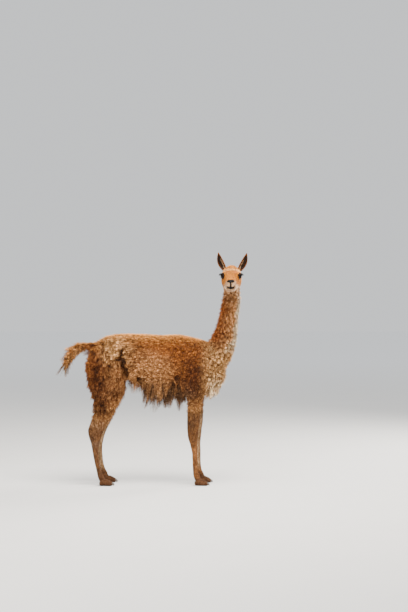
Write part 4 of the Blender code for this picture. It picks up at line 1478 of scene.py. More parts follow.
MOUTH_STEPS = 48
LEAST_FLEECE = 0.02
SOCKET_CLEAR = 0.0003
SKIN_CLEAR = 0.0006
COAT_CLEAR = 0.0008
NAIL_CLEAR = 0.0010
EAR_SHADE, LEAST_SHADE = 0.55, 0.05


@dataclass
class Skin:
    """One closed skin over the whole animal, with lids, nostrils, mouth and ears."""

    voxel: float = 0.0031
    triangles: int = 185000
    sides: int = 40
    toe_sides: int = 20
    steps: int = 4
    trunk_squareness: float = 2.15
    neck_bend: float = 0.95
    neck_bend_reach: float = 0.25
    limb_top: float = 0.75
    limb_reach: float = 0.35
    curl_height: float = 0.0085
    parting_depth: float = 0.0060
    curl_gap: float = 0.0195
    curl_seed: int = 21
    curl_luck_seed: int = 5
    curl_uneven: float = 0.40
    # Painted shade: how much darker the gaps at the curls' borders are.
    curl_dark: float = 0.66
    gather_height: Span = (0.011, 0.005)
    gather_ahead: float = 0.008
    parting_gap: float = 0.066
    parting_seed: int = 23
    parting_width: Span = (0.02, 0.19)
    parting_tip_width: Span = (0.02, 0.15)
    parting_strength: float = 0.90
    crease_width: Span = (0.014, 0.004)
    crease_tip_width: Span = (0.012, 0.004)
    crease_far_side: float = 0.55
    # The least level of the painted shade in partings and creases.
    deepest: float = 0.06
    reach: float = 0.020
    creases: tuple[Rows, ...] = (
        ((-0.178, 0.822), (-0.168, 0.760), (-0.148, 0.700), (-0.126, 0.640)),
        ((0.158, 0.672), (0.148, 0.610), (0.140, 0.540)), ((0.178, 0.650), (0.166, 0.580)),
        ((-0.061, 0.668), (-0.052, 0.600)), ((-0.215, 0.760), (-0.178, 0.790)))
    thing: Optional[bpy.types.Object] = None

    def limb(self, clay: Clay, rows: Rows, side: Side, ahead: float) -> None:
        """Add one leg.

        Args:
            clay: Where it goes.
            rows: The leg's rings.
            side: Which side.
            ahead: How far its lower part stands ahead.
        """
        rings = []
        for height, x, deep, out, wide in smooth_rows(rows, self.steps):
            lower = min(max((self.limb_top - height) / self.limb_reach, 0.0), 1.0)
            centre = Vector((x + ahead * lower, side.value * out, height))
            rings.append(oval(centre, Vector((deep, 0, 0)), Vector((0, wide, 0)), self.sides))
        clay.tube(rings)

    def body(self, clay: Clay) -> None:
        """Add trunk, neck, legs, toes and tail.

        Args:
            clay: Where they go.
        """
        clay.tube([oval(Vector((x, 0, height)), Vector((0, wide, 0)), Vector((0, 0, high)),
                        self.sides, self.trunk_squareness)
                   for x, height, high, wide in smooth_rows(BODY.trunk, self.steps)])
        rings = []
        for height, x, deep, wide in smooth_rows(BODY.neck, self.steps):
            rise = min(max((height - self.neck_bend) / self.neck_bend_reach, 0.0), 1.0)
            rings.append(oval(Vector((x, BODY.neck_shift * rise, height)), Vector((deep, 0, 0)),
                              Vector((0, wide, 0)), self.sides))
        clay.tube(rings)
        for leg, left_ahead in ((BODY.foreleg, BODY.left_fore_ahead),
                                (BODY.hindleg, BODY.left_hind_ahead)):
            self.limb(clay, leg, Side.RIGHT, 0.0)
            self.limb(clay, leg, Side.LEFT, left_ahead)
        rows = smooth_rows(BODY.tail, self.steps)
        rings = []
        for index, row in enumerate(rows):
            before, after = rows[max(index - 1, 0)], rows[min(index + 1, len(rows) - 1)]
            run = Vector((after[0] - before[0], 0.0, after[1] - before[1])).normalized()
            rings.append(oval(Vector((row[0], 0.0, row[1])), Vector((-run.z, 0.0, run.x)) * row[2],
                              Vector((0.0, row[3], 0.0)), self.sides))
        clay.tube(rings)
        for _, _, foot_x, foot_y in BODY.feet():
            for toe in Side:
                clay.tube(toe_rings(BODY.toe, foot_x, foot_y, toe, self.toe_sides, self.steps))

    def head(self, clay: Clay) -> None:
        """Add skull, muzzle, brows, cheeks, lids and the stubs of the ears.

        Args:
            clay: Where they go.
        """
        clay.tube([oval(HEAD.point(0.0, ahead, height), Vector((wide, 0, 0)),
                        Vector((0, 0, high)), self.sides, HEAD.squareness)
                   for ahead, height, high, wide in smooth_rows(HEAD.rings, self.steps)])
        for across, ahead, height, *half in HEAD.pairs:
            for side in Side:
                clay.egg(HEAD.point(side.value * across, ahead, height), half)
        for across, ahead, height, *half in HEAD.singles:
            clay.egg(HEAD.point(across, ahead, height), half)
        for side in Side:
            base, _, run, _, _ = HEAD.ear_axes(side)
            clay.egg(base - run * 0.006, (0.015, 0.016, 0.017))
            clay.egg(HEAD.eye_centre(side), (HEAD.eye_radius + HEAD.lid_thick,) * 3)

    def fused(self) -> bpy.types.Object:
        """Fuse all forms into one smooth skin and set it under the coat.

        Returns:
            The skin without its openings.
        """
        clay = Clay()
        self.body(clay)
        self.head(clay)
        skin = clay.made("skin")
        change = skin.modifiers.new("Fuse", "REMESH")
        change.mode = "VOXEL"
        change.voxel_size = self.voxel
        settle(skin)
        relax(skin.data, lambda places: 1.0 - 0.75 * ramp(places[:, 2], 0.10, 0.05), 16)
        places, outwards = places_of(skin.data), outwards_of(skin.data)
        places = places - outwards * Regions(places, outwards).depth()[:, None]
        places[:, 2] = np.maximum(places[:, 2], SKIN_CLEAR)
        put_places(skin.data, places)
        relax(skin.data, lambda places: 1.0 - ramp(places[:, 2], 0.10, 0.05), 3)
        return self.thinned(skin)

    def thinned(self, skin: bpy.types.Object) -> bpy.types.Object:
        """Make the body coarser than the head and feet.

        Args:
            skin: The dense skin.

        Returns:
            The same object with fewer faces.
        """
        places = places_of(skin.data)
        group = skin.vertex_groups.new(name="coarse")
        coarse = np.flatnonzero((places[:, 2] > 0.09) & (places[:, 2] < 1.12))
        group.add(coarse.tolist(), 1.0, "REPLACE")
        total = sum(len(face.vertices) - 2 for face in skin.data.polygons)
        change = skin.modifiers.new("Thin", "DECIMATE")
        change.ratio = min(self.triangles / total, 1.0)
        change.use_collapse_triangulate = True
        change.vertex_group = "coarse"
        settle(skin)
        skin.vertex_groups.clear()
        return skin

    @staticmethod
    def scooped(skin: bpy.types.Object, name: str, centre: Vector, half: Sequence[float],
                *shape: Union[Matrix, int, None]) -> None:
        """Cut an egg shape out of the skin.

        Args:
            skin: The skin.
            name: What the cut is called.
            centre: The egg's middle.
            half: Its half sizes.
            shape: Its turn, sides and levels, if they matter.
        """
        clay = Clay()
        clay.egg(centre, half, *shape)
        join(skin, clay.made(name), Joining.CUT)

    def openings(self, skin: bpy.types.Object) -> None:
        """Cut nostrils, lip cleft, mouth and the eyes' openings.

        Args:
            skin: The skin, whose mesh changes.
        """
        tree = tree_of(skin.data)
        ahead = Vector((0.0, -1.0, 0.0))
        across, start, height = HEAD.nostril_place
        for side in Side:
            place = tree.ray_cast(HEAD.point(side.value * across, start, height), ahead)[0]
            turn = Matrix.Rotation(side.value * HEAD.nostril_lean, 3, "Y")
            self.scooped(skin, "nostril", place, HEAD.nostril_half, turn)
        place = tree.ray_cast(HEAD.point(0.0, start, height - HEAD.cleft_drop), ahead)[0]
        self.scooped(skin, "cleft", place, HEAD.cleft_half)
        rings = []
        for step in range(MOUTH_STEPS + 1):
            share = 2.0 * step / MOUTH_STEPS - 1.0
            angle = HEAD.mouth_half_angle * share
            level = HEAD.mouth_height + HEAD.mouth_rise * abs(share) ** 3
            way = Vector((math.sin(angle), -math.cos(angle), 0.0))
            place = tree.ray_cast(HEAD.point(0.0, HEAD.mouth_ahead, level), way)[0]
            fade = 1.0 - 0.75 * abs(share) ** 3
            rise = Vector((0.0, 0.0, HEAD.mouth_half_open * fade))
            inner = place - way * HEAD.mouth_depth * fade
            outer = place + way * 0.003
            rings.append([inner, place - rise * 0.4, outer - rise * 1.5, outer + rise * 1.5,
                          place + rise * 0.4])
        clay = Clay()
        clay.tube(rings)
        join(skin, clay.made("mouth"), Joining.CUT)
        for side in Side:
            look = HEAD.look(side)
            out, upwards = HEAD.lid_axes(side)
            wide, high = HEAD.lid_open
            rings = []
            for distance, spread in ((0.004, 0.86), (0.014, 0.96), (0.034, 1.30)):
                rings.append(oval(HEAD.eye_centre(side) + look * distance, out * wide * spread,
                                  upwards * high * spread, 32, 1.9))
            clay = Clay()
            clay.tube(rings)
            join(skin, clay.made("opening"), Joining.CUT)
            radius = HEAD.eye_radius + SOCKET_CLEAR
            self.scooped(skin, "socket", HEAD.eye_centre(side), (radius,) * 3, None, 32, 20)

    def ears(self, skin: bpy.types.Object) -> None:
        """Join both ears' cups to the head.

        Args:
            skin: The skin, whose mesh changes.
        """
        for side in Side:
            base, tip, run, across, opening = HEAD.ear_axes(side)
            length = (tip - base).length
            steps = 17
            rings = []
            for share, wide, deep in smooth_rows(HEAD.ear_rows, 3):
                share = min(max(share, 0.0), 1.0)
                centre = base + (tip - base) * share
                centre = centre + across * side.value * HEAD.ear_bow * math.sin(math.pi * share)
                wall = min(HEAD.ear_wall, 0.62 * deep)
                hollow = min(max((share * length - 0.008) / HEAD.ear_floor, 0.0), 1.0)
                outer, inner = [], []
                for step in range(steps):
                    angle = HEAD.ear_half_turn * (2.0 * step / (steps - 1) - 1.0)
                    aside, back = math.sin(angle), math.cos(angle)
                    outer.append(centre + across * aside * wide - opening * back * deep)
                    front = -math.cos(HEAD.ear_half_turn) * deep * (1.0 - abs(aside) ** 3 * 0.4)
                    low = (deep - wall) * back * hollow - front * (1.0 - hollow)
                    inner.append(centre + across * aside * (wide - wall) - opening * low)
                rings.append(outer + inner[::-1])
            clay = Clay()
            clay.tube(rings)
            join(skin, clay.made("ear"), Joining.ADD)

    def crease_distance(self, places: np.ndarray) -> np.ndarray:
        """How far each place is, seen from the side, from the nearest crease.

        Args:
            places: The places.

        Returns:
            One distance per place.
        """
        nearest = np.full(len(places), 1.0)
        for line in self.creases:
            for start, end in zip(line, line[1:]):
                run = np.array(end) - np.array(start)
                local = places[:, (0, 2)] - np.array(start)
                share = np.clip(local @ run / (run @ run), 0.0, 1.0)
                away = np.linalg.norm(local - share[:, None] * run, axis=1)
                nearest = np.minimum(nearest, away)
        return nearest

    def parted(self, region: Regions, stray: np.ndarray,
               fleece: np.ndarray) -> tuple[np.ndarray, np.ndarray]:
        """Where the fleece is whole and where it opens.

        Args:
            region: The skin's regions.
            stray: The skin's places, shifted so that partings waver.
            fleece: How much fleece grows at each place.

        Returns:
            1 in whole fleece and 0 in partings and creases, for roots and for tips.
        """
        cells, wanted = Cells(self.parting_gap, self.parting_seed), fleece > LEAST_FLEECE
        where = np.clip(0.20 + ramp(region.x, 0.02, -0.10), 0.0, 1.0) * region.trunk
        where = where * ramp(region.outwards[:, 2], 0.90, 0.60)
        where = self.parting_strength * where * ramp(region.x, -0.385, -0.350)
        run = region.lie() * self.reach
        _, far = cells.borders(stray, wanted)
        _, far_tip = cells.borders(stray, wanted, stray + run)
        side = np.where(region.y > 0.0, self.crease_far_side, 1.0)
        flank = ramp(np.abs(region.y), 0.03, 0.06) * side
        crease = ramp(self.crease_distance(stray), *self.crease_width) * flank
        crease_tip = crease
        for share in (0.4, 0.7, 1.0):
            near = self.crease_distance(stray + run * share)
            crease_tip = np.maximum(crease_tip, flank * ramp(near, *self.crease_tip_width))
        whole = 1.0 - (1.0 - ramp(far, *self.parting_width)) * where * fleece
        whole = whole * (1.0 - crease)
        whole_tip = 1.0 - (1.0 - ramp(far_tip, *self.parting_tip_width)) * where * fleece
        # The first share thins, shortens and sinks the coat in partings and creases; the second
        # sets the painted shade there.
        return whole, np.minimum(whole, whole_tip * (1.0 - crease_tip))

    def curled(self, skin: bpy.types.Object) -> None:
        """Raise curls on the fleece, sink its partings, keep where each curl's tips gather, and
        keep painted shade in the gaps between curls and in partings and creases.

        Args:
            skin: The skin, whose corners move.
        """
        mesh = skin.data
        places, outwards = places_of(mesh), outwards_of(mesh)
        region = Regions(places, outwards)
        fleece = np.clip(region.trunk + region.neck + region.tail, 0.0, 1.0)
        fleece = np.maximum(fleece, ramp(region.z, 0.34, 0.46)) * (1.0 - region.head)
        curls = Cells(self.curl_gap, self.curl_seed)
        home, inner = curls.borders(places, fleece > LEAST_FLEECE)
        haunch = ramp(region.x, -0.20, -0.28) * region.trunk
        strong = 0.50 + 0.50 * np.clip(region.breast + 0.8 * region.neck + haunch, 0.0, 1.0)
        dome = ramp(inner, 0.0, 0.80)
        stray = places + 0.012 * np.stack([ripple(places, 0.05, seed) for seed in (31, 32, 33)], 1)
        whole, whole_tip = self.parted(region, stray, fleece)
        rise = self.curl_height * strong * (dome - 0.55) * fleece
        rise = rise - self.parting_depth * (1.0 - whole)
        height, more = self.gather_height
        gather = places[home] + outwards[home] * (height + more * strong[:, None])
        gather = gather + region.lie()[home] * self.gather_ahead
        luck = np.random.default_rng(self.curl_luck_seed).uniform(0.0, 1.0, len(places))[home]
        # Each curl's own random tone, times painted shade: darker towards the curl's border, where
        # the gaps between curls lie, and darkest in partings and creases.
        shade = 1.0 + fleece * (self.curl_uneven * (luck - 0.5))
        shade = shade * (1.0 - fleece * strong * self.curl_dark * (1.0 - dome))
        shade = shade * (self.deepest + (1.0 - self.deepest) * whole_tip)
        put_places(mesh, places + outwards * rise[:, None])
        for name, values in (("gather", gather), ("shade", shade), ("parted", whole)):
            attach(mesh, name, values)

    def made(self, markings: Markings, finish: SkinFinish) -> bpy.types.Object:
        """Build the skin and keep on it what the coat needs.

        Args:
            markings: The coat's markings.
            finish: The skin's finish.

        Returns:
            The skin.
        """
        skin = self.fused()
        self.curled(skin)
        self.openings(skin)
        self.ears(skin)
        mesh = skin.data
        places, outwards = places_of(mesh), outwards_of(mesh)
        region = Regions(places, outwards)
        colour = markings.paint(region)
        attach(mesh, "tint", colour)
        _, ear = markings.ears(region)
        least = np.maximum(EAR_SHADE * ear, LEAST_SHADE)
        attach(mesh, "shade", np.maximum(numbers(mesh, "shade"), least))
        attach(mesh, "flow", region.lie()[:, 2] ** 2)
        attach(mesh, "moist", np.clip(ramp(colour[:, 0], 0.06, 0.03) * region.head, 0.0, 1.0))
        mesh.materials.clear()
        mesh.materials.append(finish.made())
        shade_smooth(mesh)
        self.thing = skin
        return skin


def toe_rings(rows: Rows, foot_x: float, foot_y: float, toe: Side, sides: int,
              steps: int) -> list[list[Vector]]:
    """Rings across one toe or nail.

    Args:
        rows: Distance ahead, height, half height and half width of each ring.
        foot_x: The foot's place.
        foot_y: The foot's place.
        toe: Which of its two toes.
        sides: Points round each ring.
        steps: How finely the rows are divided.

    Returns:
        The rings from heel to tip.
    """
    place = Matrix.Translation((foot_x, foot_y + toe.value * BODY.toe_spread, 0.0))
    place = place @ Matrix.Rotation(toe.value * BODY.toe_turn, 4, "Z")
    rings = []
    for ahead, height, high, wide in smooth_rows(rows, steps):
        centre = place @ Vector((ahead, 0.0, height))
        across = place.to_3x3() @ Vector((0.0, wide, 0.0))
        rings.append(oval(centre, across, Vector((0.0, 0.0, high)), sides))
    return rings


# The coat

@dataclass(frozen=True)
class Tuft:
    """One tapered lock of hair lying along +Y, a length of one, with its back up along +Z."""

    name: str
    sections: int = 3
    wave: float = 0.10
    thick: float = 0.45
    seed: int = 1
    narrowing: Span = (0.15, 0.45)
    arch: float = 0.12
    tip_bend: float = 0.3

    def made(self) -> bpy.types.Object:
        """Build the lock.

        Returns:
            An object outside the scene that holds the lock.
        """
        chance = random.Random(self.seed)
        chance.random()  # passed over, so that each seed keeps its bend
        bend = chance.uniform(-1.0, 1.0) * self.wave
        early, late = self.narrowing
        corners, faces, along = [], [], []
        for section in range(self.sections):
            share = section / self.sections
            width = 0.5 * (1.0 - early * share - late * share ** 2.0)
            middle = bend * math.sin(math.pi * share)
            lift = self.arch * math.sin(math.pi * share)
            for side, rise in ((-1.0, 0.0), (1.0, 0.0), (0.0, self.thick)):
                corners.append((middle + side * width, share, lift + rise * width))
                along.append(share)
        corners.append((bend * self.tip_bend, 1.0, 0.0))
        along.append(1.0)
        top, tip = 3 * (self.sections - 1), 3 * self.sections
        turns = ((0, 1), (1, 2), (2, 0))
        for low in range(0, top, 3):
            faces += [(low + index, low + after, low + 3 + after, low + 3 + index)
                      for index, after in turns]
        faces += [(top + index, top + after, tip) for index, after in turns]
        faces.append((2, 1, 0))
        mesh = bpy.data.meshes.new(self.name)
        mesh.from_pydata(corners, [], faces)
        attach(mesh, "along", np.array(along))
        shade_smooth(mesh)
        return bpy.data.objects.new(self.name, mesh)


@dataclass(frozen=True)
class Rate:
    """A measure of the coat in each region of the body."""

    trunk: float
    neck: float
    tail: float
    leg: float
    shank_less: float = 0.0

    def on(self, region: Regions) -> np.ndarray:
        """The measure at each place behind the head."""
        total = self.trunk * region.trunk + self.neck * region.neck + self.tail * region.tail
        return total + region.leg * (self.leg - self.shank_less * region.shank())


LENGTH = Rate(0.024, 0.021, 0.038, 0.016, 0.007)
THROAT_SHORTER = 0.006
FACE_LENGTH, CHEEK_SHORTER, NOSE_SHORTER = 0.0170, 0.0050, 0.0068
BREAST_LONGER = 0.004
WIDTH = Rate(0.0034, 0.0030, 0.0032, 0.0024, 0.0007)
FACE_WIDTH, MUZZLE_NARROWER = 0.0019, 0.0007
LIFT = Rate(0.36, 0.34, 0.50, 0.18)
FACE_LIFT, UNDER_LIFT, BREAST_LIFT = 0.15, 0.55, 0.10
CURL_PULL, BREAST_PULL, LATE = 0.56, 0.22, 1.4
GROWTH = ("gather", "parted", "lie", "length", "width", "lift", "pull", "late", "stray", "flat")


@dataclass
class Growth:
    """How the coat grows on the skin, kept as attributes that the coat's nodes read."""

    skin: bpy.types.Object

    def unwrap(self, region: Regions) -> np.ndarray:
        """Lay the skin out flat, part by part, each opened along its own length.

        Args:
            region: The places.

        Returns:
            One place on the flat sheet per corner, with a third number of zero.
        """
        x, y, z = region.places.T
        flat = np.zeros((len(x), 3))

        def lay(own: np.ndarray, box: Sequence[float], across: np.ndarray,
                along: np.ndarray) -> None:
            """Lay one part into its box, which is given by its corner, width and height."""
            flat[own, 0] = (box[0] + box[2] * across)[own]
            flat[own, 1] = (box[1] + box[3] * np.clip(along, 0.0, 1.0))[own]

        def around(second: np.ndarray, first: np.ndarray) -> np.ndarray:
            """The share of a turn about the part's own length."""
            return np.arctan2(second, first) / (2.0 * math.pi) + 0.5

        lay(np.full(len(x), True), (0.01, 0.01, 0.54, 0.54), around(y, z - 0.75),
            (x + 0.40) / 0.88)
        lay(region.neck > 0.5, (0.58, 0.01, 0.22, 0.48), around(y, x - neck_line(z)),
            (z - 0.74) / 0.46)
        lay(region.head > 0.5, (0.58, 0.52, 0.41, 0.40), around(region.across, z - 1.235),
            (region.ahead + 0.07) / 0.28)
        heights = (0.02, 0.20, 0.30, 0.5)
        for fore, line in ((True, (0.298, 0.273, 0.263, 0.272)),
                           (False, (-0.284, -0.327, -0.329, -0.262))):
            for side in Side:
                leg = (region.leg > 0.5) & ((x > 0.0) == fore) & (y * side.value > 0.0)
                start = 0.01 + 0.14 * (2 * int(fore) + int(side is Side.LEFT))
                lay(leg, (start, 0.57, 0.125, 0.41),
                    around(y - side.value * 0.08, x - np.interp(z, heights, line)), z / 0.56)
        lay(region.tail > 0.5, (0.82, 0.01, 0.17, 0.20), around(y, x + z - 0.36),
            (0.86 - z) / 0.16)
        ear = region.ear > 0.5
        aside = np.clip((np.abs(region.across) - 0.02) / 0.09, 0.0, 1.0)
        lay(ear, (0.82, 0.24, 0.08, 0.24), aside, (z - 1.30) / 0.11)
        flat[ear, 0] += 0.09 * (region.across > 0.0)[ear]
        return flat

    def keep(self) -> Regions:
        """Store lie, length, width, lift and gathering on the skin.

        Returns:
            The skin's regions.
        """
        mesh = self.skin.data
        places, outwards = places_of(mesh), outwards_of(mesh)
        region = Regions(places, outwards)
        _, ear = Markings().ears(region)
        region.ear = ear
        distance = region.eye_distance()
        high = ramp(region.z, 1.08, 1.19)
        length = LENGTH.on(region) - THROAT_SHORTER * high * region.neck
        face = FACE_LENGTH - CHEEK_SHORTER * ramp(region.ahead, -0.03, 0.02)
        face = face - NOSE_SHORTER * ramp(region.ahead, 0.02, 0.14)
        length = over(length, face, region.head)
        length = length * (1.0 - 0.45 * region.foot) + BREAST_LONGER * region.breast
        length = length * (0.45 + 0.55 * numbers(mesh, "parted"))
        length = length * (1.0 - 0.6 * ear) * (1.0 - 0.4 * ramp(distance, 0.034, 0.024))
        width = over(WIDTH.on(region), FACE_WIDTH - MUZZLE_NARROWER * region.muzzle, region.head)
        width = width * (1.0 - 0.35 * ear)
        lift = over(LIFT.on(region), np.full(len(ear), FACE_LIFT), region.head)
        lift = lift + UNDER_LIFT * region.under + BREAST_LIFT * region.breast
        pull = CURL_PULL * np.clip(region.trunk + region.neck, 0.0, 1.0)
        pull = (pull + BREAST_PULL * region.breast) * (1.0 - region.head) * (1.0 - region.under)
        stray = 0.50 * np.clip(region.trunk + region.neck + region.tail, 0.0, 1.0) + 0.16
        for name, values in (("lie", region.lie()), ("length", length), ("width", width),
                             ("lift", lift), ("pull", pull), ("late", np.full(len(pull), LATE)),
                             ("stray", stray), ("flat", self.unwrap(region))):
            attach(mesh, name, values)
        return region


@dataclass
class Fleece:
    """Geometry nodes that set tufts on the skin and leave them as a plain mesh."""

    finish: bpy.types.Material
    patch_wide: float = 0.003
    patch_high: float = 0.05
    tree: Optional[bpy.types.NodeTree] = None
    sockets: dict[str, str] = field(default_factory=dict)

    def build(self) -> None:
        """Lay out the nodes."""
        self.tree = bpy.data.node_groups.new("Tufts", "GeometryNodeTree")
        self.sockets = declared(self.tree, {
            "Tuft": ("Object", None), "Most per area": ("Float", 50000.0),
            "Least gap": ("Float", 0.002), "Seed": ("Int", 1), "Finish": ("Material", None)})
        board = Board(self.tree)
        entry = board.add("NodeGroupInput")
        points = board.add("GeometryNodeDistributePointsOnFaces", {"distribute_method": "POISSON"},
                           {"Mesh": board.out(entry, "Geometry"),
                            "Distance Min": board.out(entry, "Least gap"),
                            "Density Max": board.out(entry, "Most per area"),
                            "Density Factor": board.named("density"),
                            "Seed": board.out(entry, "Seed")})
        kept = board.stored(points, "root", board.add("GeometryNodeInputPosition"),
                            "FLOAT_VECTOR")
        kept = board.stored(kept, "chance", board.chance(0.0, 1.0, 3), "FLOAT")
        stand = board.add("FunctionNodeAxesToRotation",
                          {"primary_axis": "Z", "secondary_axis": "Y"},
                          {0: board.out(points, "Normal"), 1: board.named("lie", "FLOAT_VECTOR")})
        yaw = board.chance(-1.0, 1.0, 7) * board.named("stray")
        raised = board.chance(0.60, 1.40, 13) * board.named("lift")
        turn = board.add("ShaderNodeCombineXYZ", None, {"X": raised, "Z": yaw})
        turned = board.add("FunctionNodeEulerToRotation", None, {0: turn})
        facing = board.add("FunctionNodeRotateRotation", {"rotation_space": "LOCAL"},
                           {0: stand, 1: turned})
        width = board.named("width")
        length = board.named("length") * board.chance(0.70, 1.20, 11)
        real = board.copied(kept, board.out(entry, "Tuft"), facing, width, length)
        along = board.named("along")
        share = board.named("pull") * (along ** board.named("late"))
        reach = board.vector("SUBTRACT", board.named("gather", "FLOAT_VECTOR"),
                             board.add("GeometryNodeInputPosition"))
        moved = board.add("GeometryNodeSetPosition", None,
                          {"Geometry": real, "Offset": board.stretched(reach, share)})
        place = board.vector("SUBTRACT", board.add("GeometryNodeInputPosition"),
                             board.named("root", "FLOAT_VECTOR"))
        height = board.add("ShaderNodeSeparateXYZ", None, {0: place}, "Z")
        patch = board.add("ShaderNodeCombineXYZ", None,
                          {"X": along * self.patch_wide, "Y": height * self.patch_high})
        spot = board.vector("ADD", board.named("flat", "FLOAT_VECTOR"), patch)
        mapped = board.stored(moved, "OFBake", spot, "FLOAT2", "CORNER")
        board.finished(mapped, entry)

    def grow(self, name: str, skin: bpy.types.Object, density: np.ndarray, tuft: bpy.types.Object,
             most: float, gap: float, seed: int) -> bpy.types.Object:
        """Grow one piece of the coat.

        Args:
            name: The piece's name.
            skin: The skin with its growth attributes.
            density: How dense the tufts stand at each corner, from 0 to 1.
            tuft: The lock that is repeated.
            most: Most tufts to a square metre.
            gap: Least distance between roots.
            seed: The seed of the random places.

        Returns:
            The piece as a plain mesh object.
        """
        bed = shown(name, self.bed(skin.data, density))
        grown(bed, self.tree, self.sockets, {
            "Tuft": tuft, "Most per area": most, "Least gap": gap, "Seed": seed,
            "Finish": self.finish})
        mesh = bed.data
        for used in (*GROWTH, "root", "moist", "density"):
            found = mesh.attributes.get(used)
            if found is not None:
                mesh.attributes.remove(found)
        places = places_of(mesh)
        if len(places):
            places[:, 2] = np.maximum(places[:, 2], COAT_CLEAR)
            put_places(mesh, places)
        return bed

    @staticmethod
    def bed(mesh: bpy.types.Mesh, density: np.ndarray) -> bpy.types.Mesh:
        """The part of the skin that a piece of coat grows from.

        Args:
            mesh: The skin's mesh.
            density: How dense the tufts stand at each corner.

        Returns:
            A copy with only the faces that carry tufts.
        """
        copy = mesh.copy()
        attach(copy, "density", density, "FACE")
        shape = bmesh.new()
        shape.from_mesh(copy)
        bare = [face for face, share in zip(shape.faces, density) if share <= 0.0]
        bmesh.ops.delete(shape, geom=bare, context="FACES")
        shape.to_mesh(copy)
        shape.free()
        return copy


def place_all(things: Iterable[bpy.types.Object], shift: Vector) -> None:
    """Move every mesh from the body's coordinates to the solids' place.

    Args:
        things: The objects.
        shift: How far.
    """
    for thing in things:
        thing.data.transform(Matrix.Translation(shift))
        thing.data.update()


@dataclass(frozen=True)
class Fringe:
    """Long locks over part of the body, each of many strands that meet at its tip."""

    name: str
    gap: float
    width: float
    most: float
    seed: int
    zone: Callable[[Regions], np.ndarray]
    fall: Callable[[Regions], np.ndarray]
    shade: float = 1.0
    long_share: float = 0.6

    def prepare(self, mesh: bpy.types.Mesh, region: Regions) -> None:
        """Rewrite the skin's growth so that strands gather into hanging locks.

        Args:
            mesh: The skin's mesh.
            region: The skin's regions.
        """
        wanted = self.zone(region) > 0.0
        home, _ = Cells(self.gap, self.seed).borders(region.places, wanted)
        chance = np.random.default_rng(self.seed)
        is_long = chance.random(len(home)) < self.long_share
        lengths = np.where(is_long, chance.uniform(0.80, 1.15, len(home)),
                           chance.uniform(0.20, 0.50, len(home)))
        fall = self.fall(region) * lengths[:, None]
        fall = fall + chance.normal(size=fall.shape) * 0.009
        reach = np.linalg.norm(fall[home], axis=1)
        tangent = fall[home] - np.sum(fall[home] * region.outwards, 1)[:, None] * region.outwards
        shade = self.shade * chance.uniform(0.40, 1.30, len(home))[home]
        for name, values in (("gather", region.places[home] + fall[home]), ("shade", shade),
                             ("length", np.maximum(reach, 0.01)), ("lie", unit(tangent + 1e-6))):
            attach(mesh, name, values)
        for name, value in (("pull", 0.96), ("late", 0.75), ("width", self.width),
                            ("lift", 0.35), ("stray", 0.30)):
            attach(mesh, name, np.full(len(home), value))


def belly_zone(region: Regions) -> np.ndarray:
    """Where the belly's long locks grow: low on the flanks and under the ribs."""
    span = ramp(region.x, -0.150, -0.110) * ramp(region.x, 0.245, 0.215)
    low = ramp(region.outwards[:, 2], 0.05, -0.20) * ramp(region.z, 0.685, 0.640)
    return span * low * (1.0 - region.leg) * (np.abs(region.y) < 0.16)


def belly_fall(region: Regions) -> np.ndarray:
    """How far the belly's locks hang: longest below the last ribs.

    Args:
        region: The skin's regions.

    Returns:
        One vector per place.
    """
    reach = np.interp(region.x, [-0.14, -0.09, -0.02, 0.10, 0.19, 0.23],
                      [0.045, 0.075, 0.115, 0.105, 0.090, 0.045])
    reach = np.minimum(reach, np.maximum(region.z - 0.462, 0.02))
    aside = np.sign(region.y) * 0.006
    return np.stack([-0.12 * reach, aside, -reach], axis=1)


def bib_zone(region: Regions) -> np.ndarray:
    """Where the long pale hair of the breast grows."""
    return (ramp(region.x, 0.335, 0.375) * ramp(region.z, 0.680, 0.640) * (1.0 - region.leg)
            * ramp(region.z, 0.50, 0.52))


def bib_fall(region: Regions) -> np.ndarray:
    """How the breast's long hair hangs: down and a little back."""
    reach = 0.055
    return np.stack([np.full(len(region.x), -0.016) + 0.012 * region.outwards[:, 0],
                     0.010 * region.outwards[:, 1], np.full(len(region.x), -reach)], axis=1)


def tail_zone(region: Regions) -> np.ndarray:
    """Where the tail's long locks grow: from its middle to its end."""
    base = ramp(region.x, -0.340, -0.365) * ramp(region.z, 0.800, 0.815)
    return np.maximum(ramp(region.x, -0.415, -0.440), base)


def tail_fall(region: Regions) -> np.ndarray:
    """How the tail's locks run: back and down along it, parting towards its tip.

    Args:
        region: The skin's regions.

    Returns:
        One vector per place.
    """
    down = ramp(region.z, 0.835, 0.775)
    reach = 0.060 + 0.035 * ramp(region.z, 0.80, 0.72)
    way = np.stack([-1.0 + 0.62 * down, 0.35 * region.outwards[:, 1],
                    -0.35 - 0.65 * down], axis=1) + 0.25 * region.outwards
    return unit(way) * reach[:, None]


def thigh_zone(region: Regions) -> np.ndarray:
    """Where longer wool edges the back of the thighs and the rump."""
    return (ramp(region.x, -0.280, -0.320) * ramp(region.outwards[:, 0], -0.10, -0.50)
            * ramp(region.z, 0.44, 0.50) * ramp(region.z, 0.82, 0.78) * (1.0 - region.tail))


def thigh_fall(region: Regions) -> np.ndarray:
    """How the thighs' longer wool hangs."""
    return np.stack([np.full(len(region.x), -0.010), 0.006 * region.outwards[:, 1],
                     np.full(len(region.x), -0.030)], axis=1)


FRINGES = (
    Fringe("locks_belly", 0.025, 0.0026, 44000.0, 81, belly_zone, belly_fall, 0.68, 0.50),
    Fringe("locks_breast", 0.020, 0.0026, 48000.0, 82, bib_zone, bib_fall),
    Fringe("locks_tail", 0.016, 0.0028, 60000.0, 83, tail_zone, tail_fall),
    Fringe("locks_thigh", 0.018, 0.0026, 36000.0, 84, thigh_zone, thigh_fall))


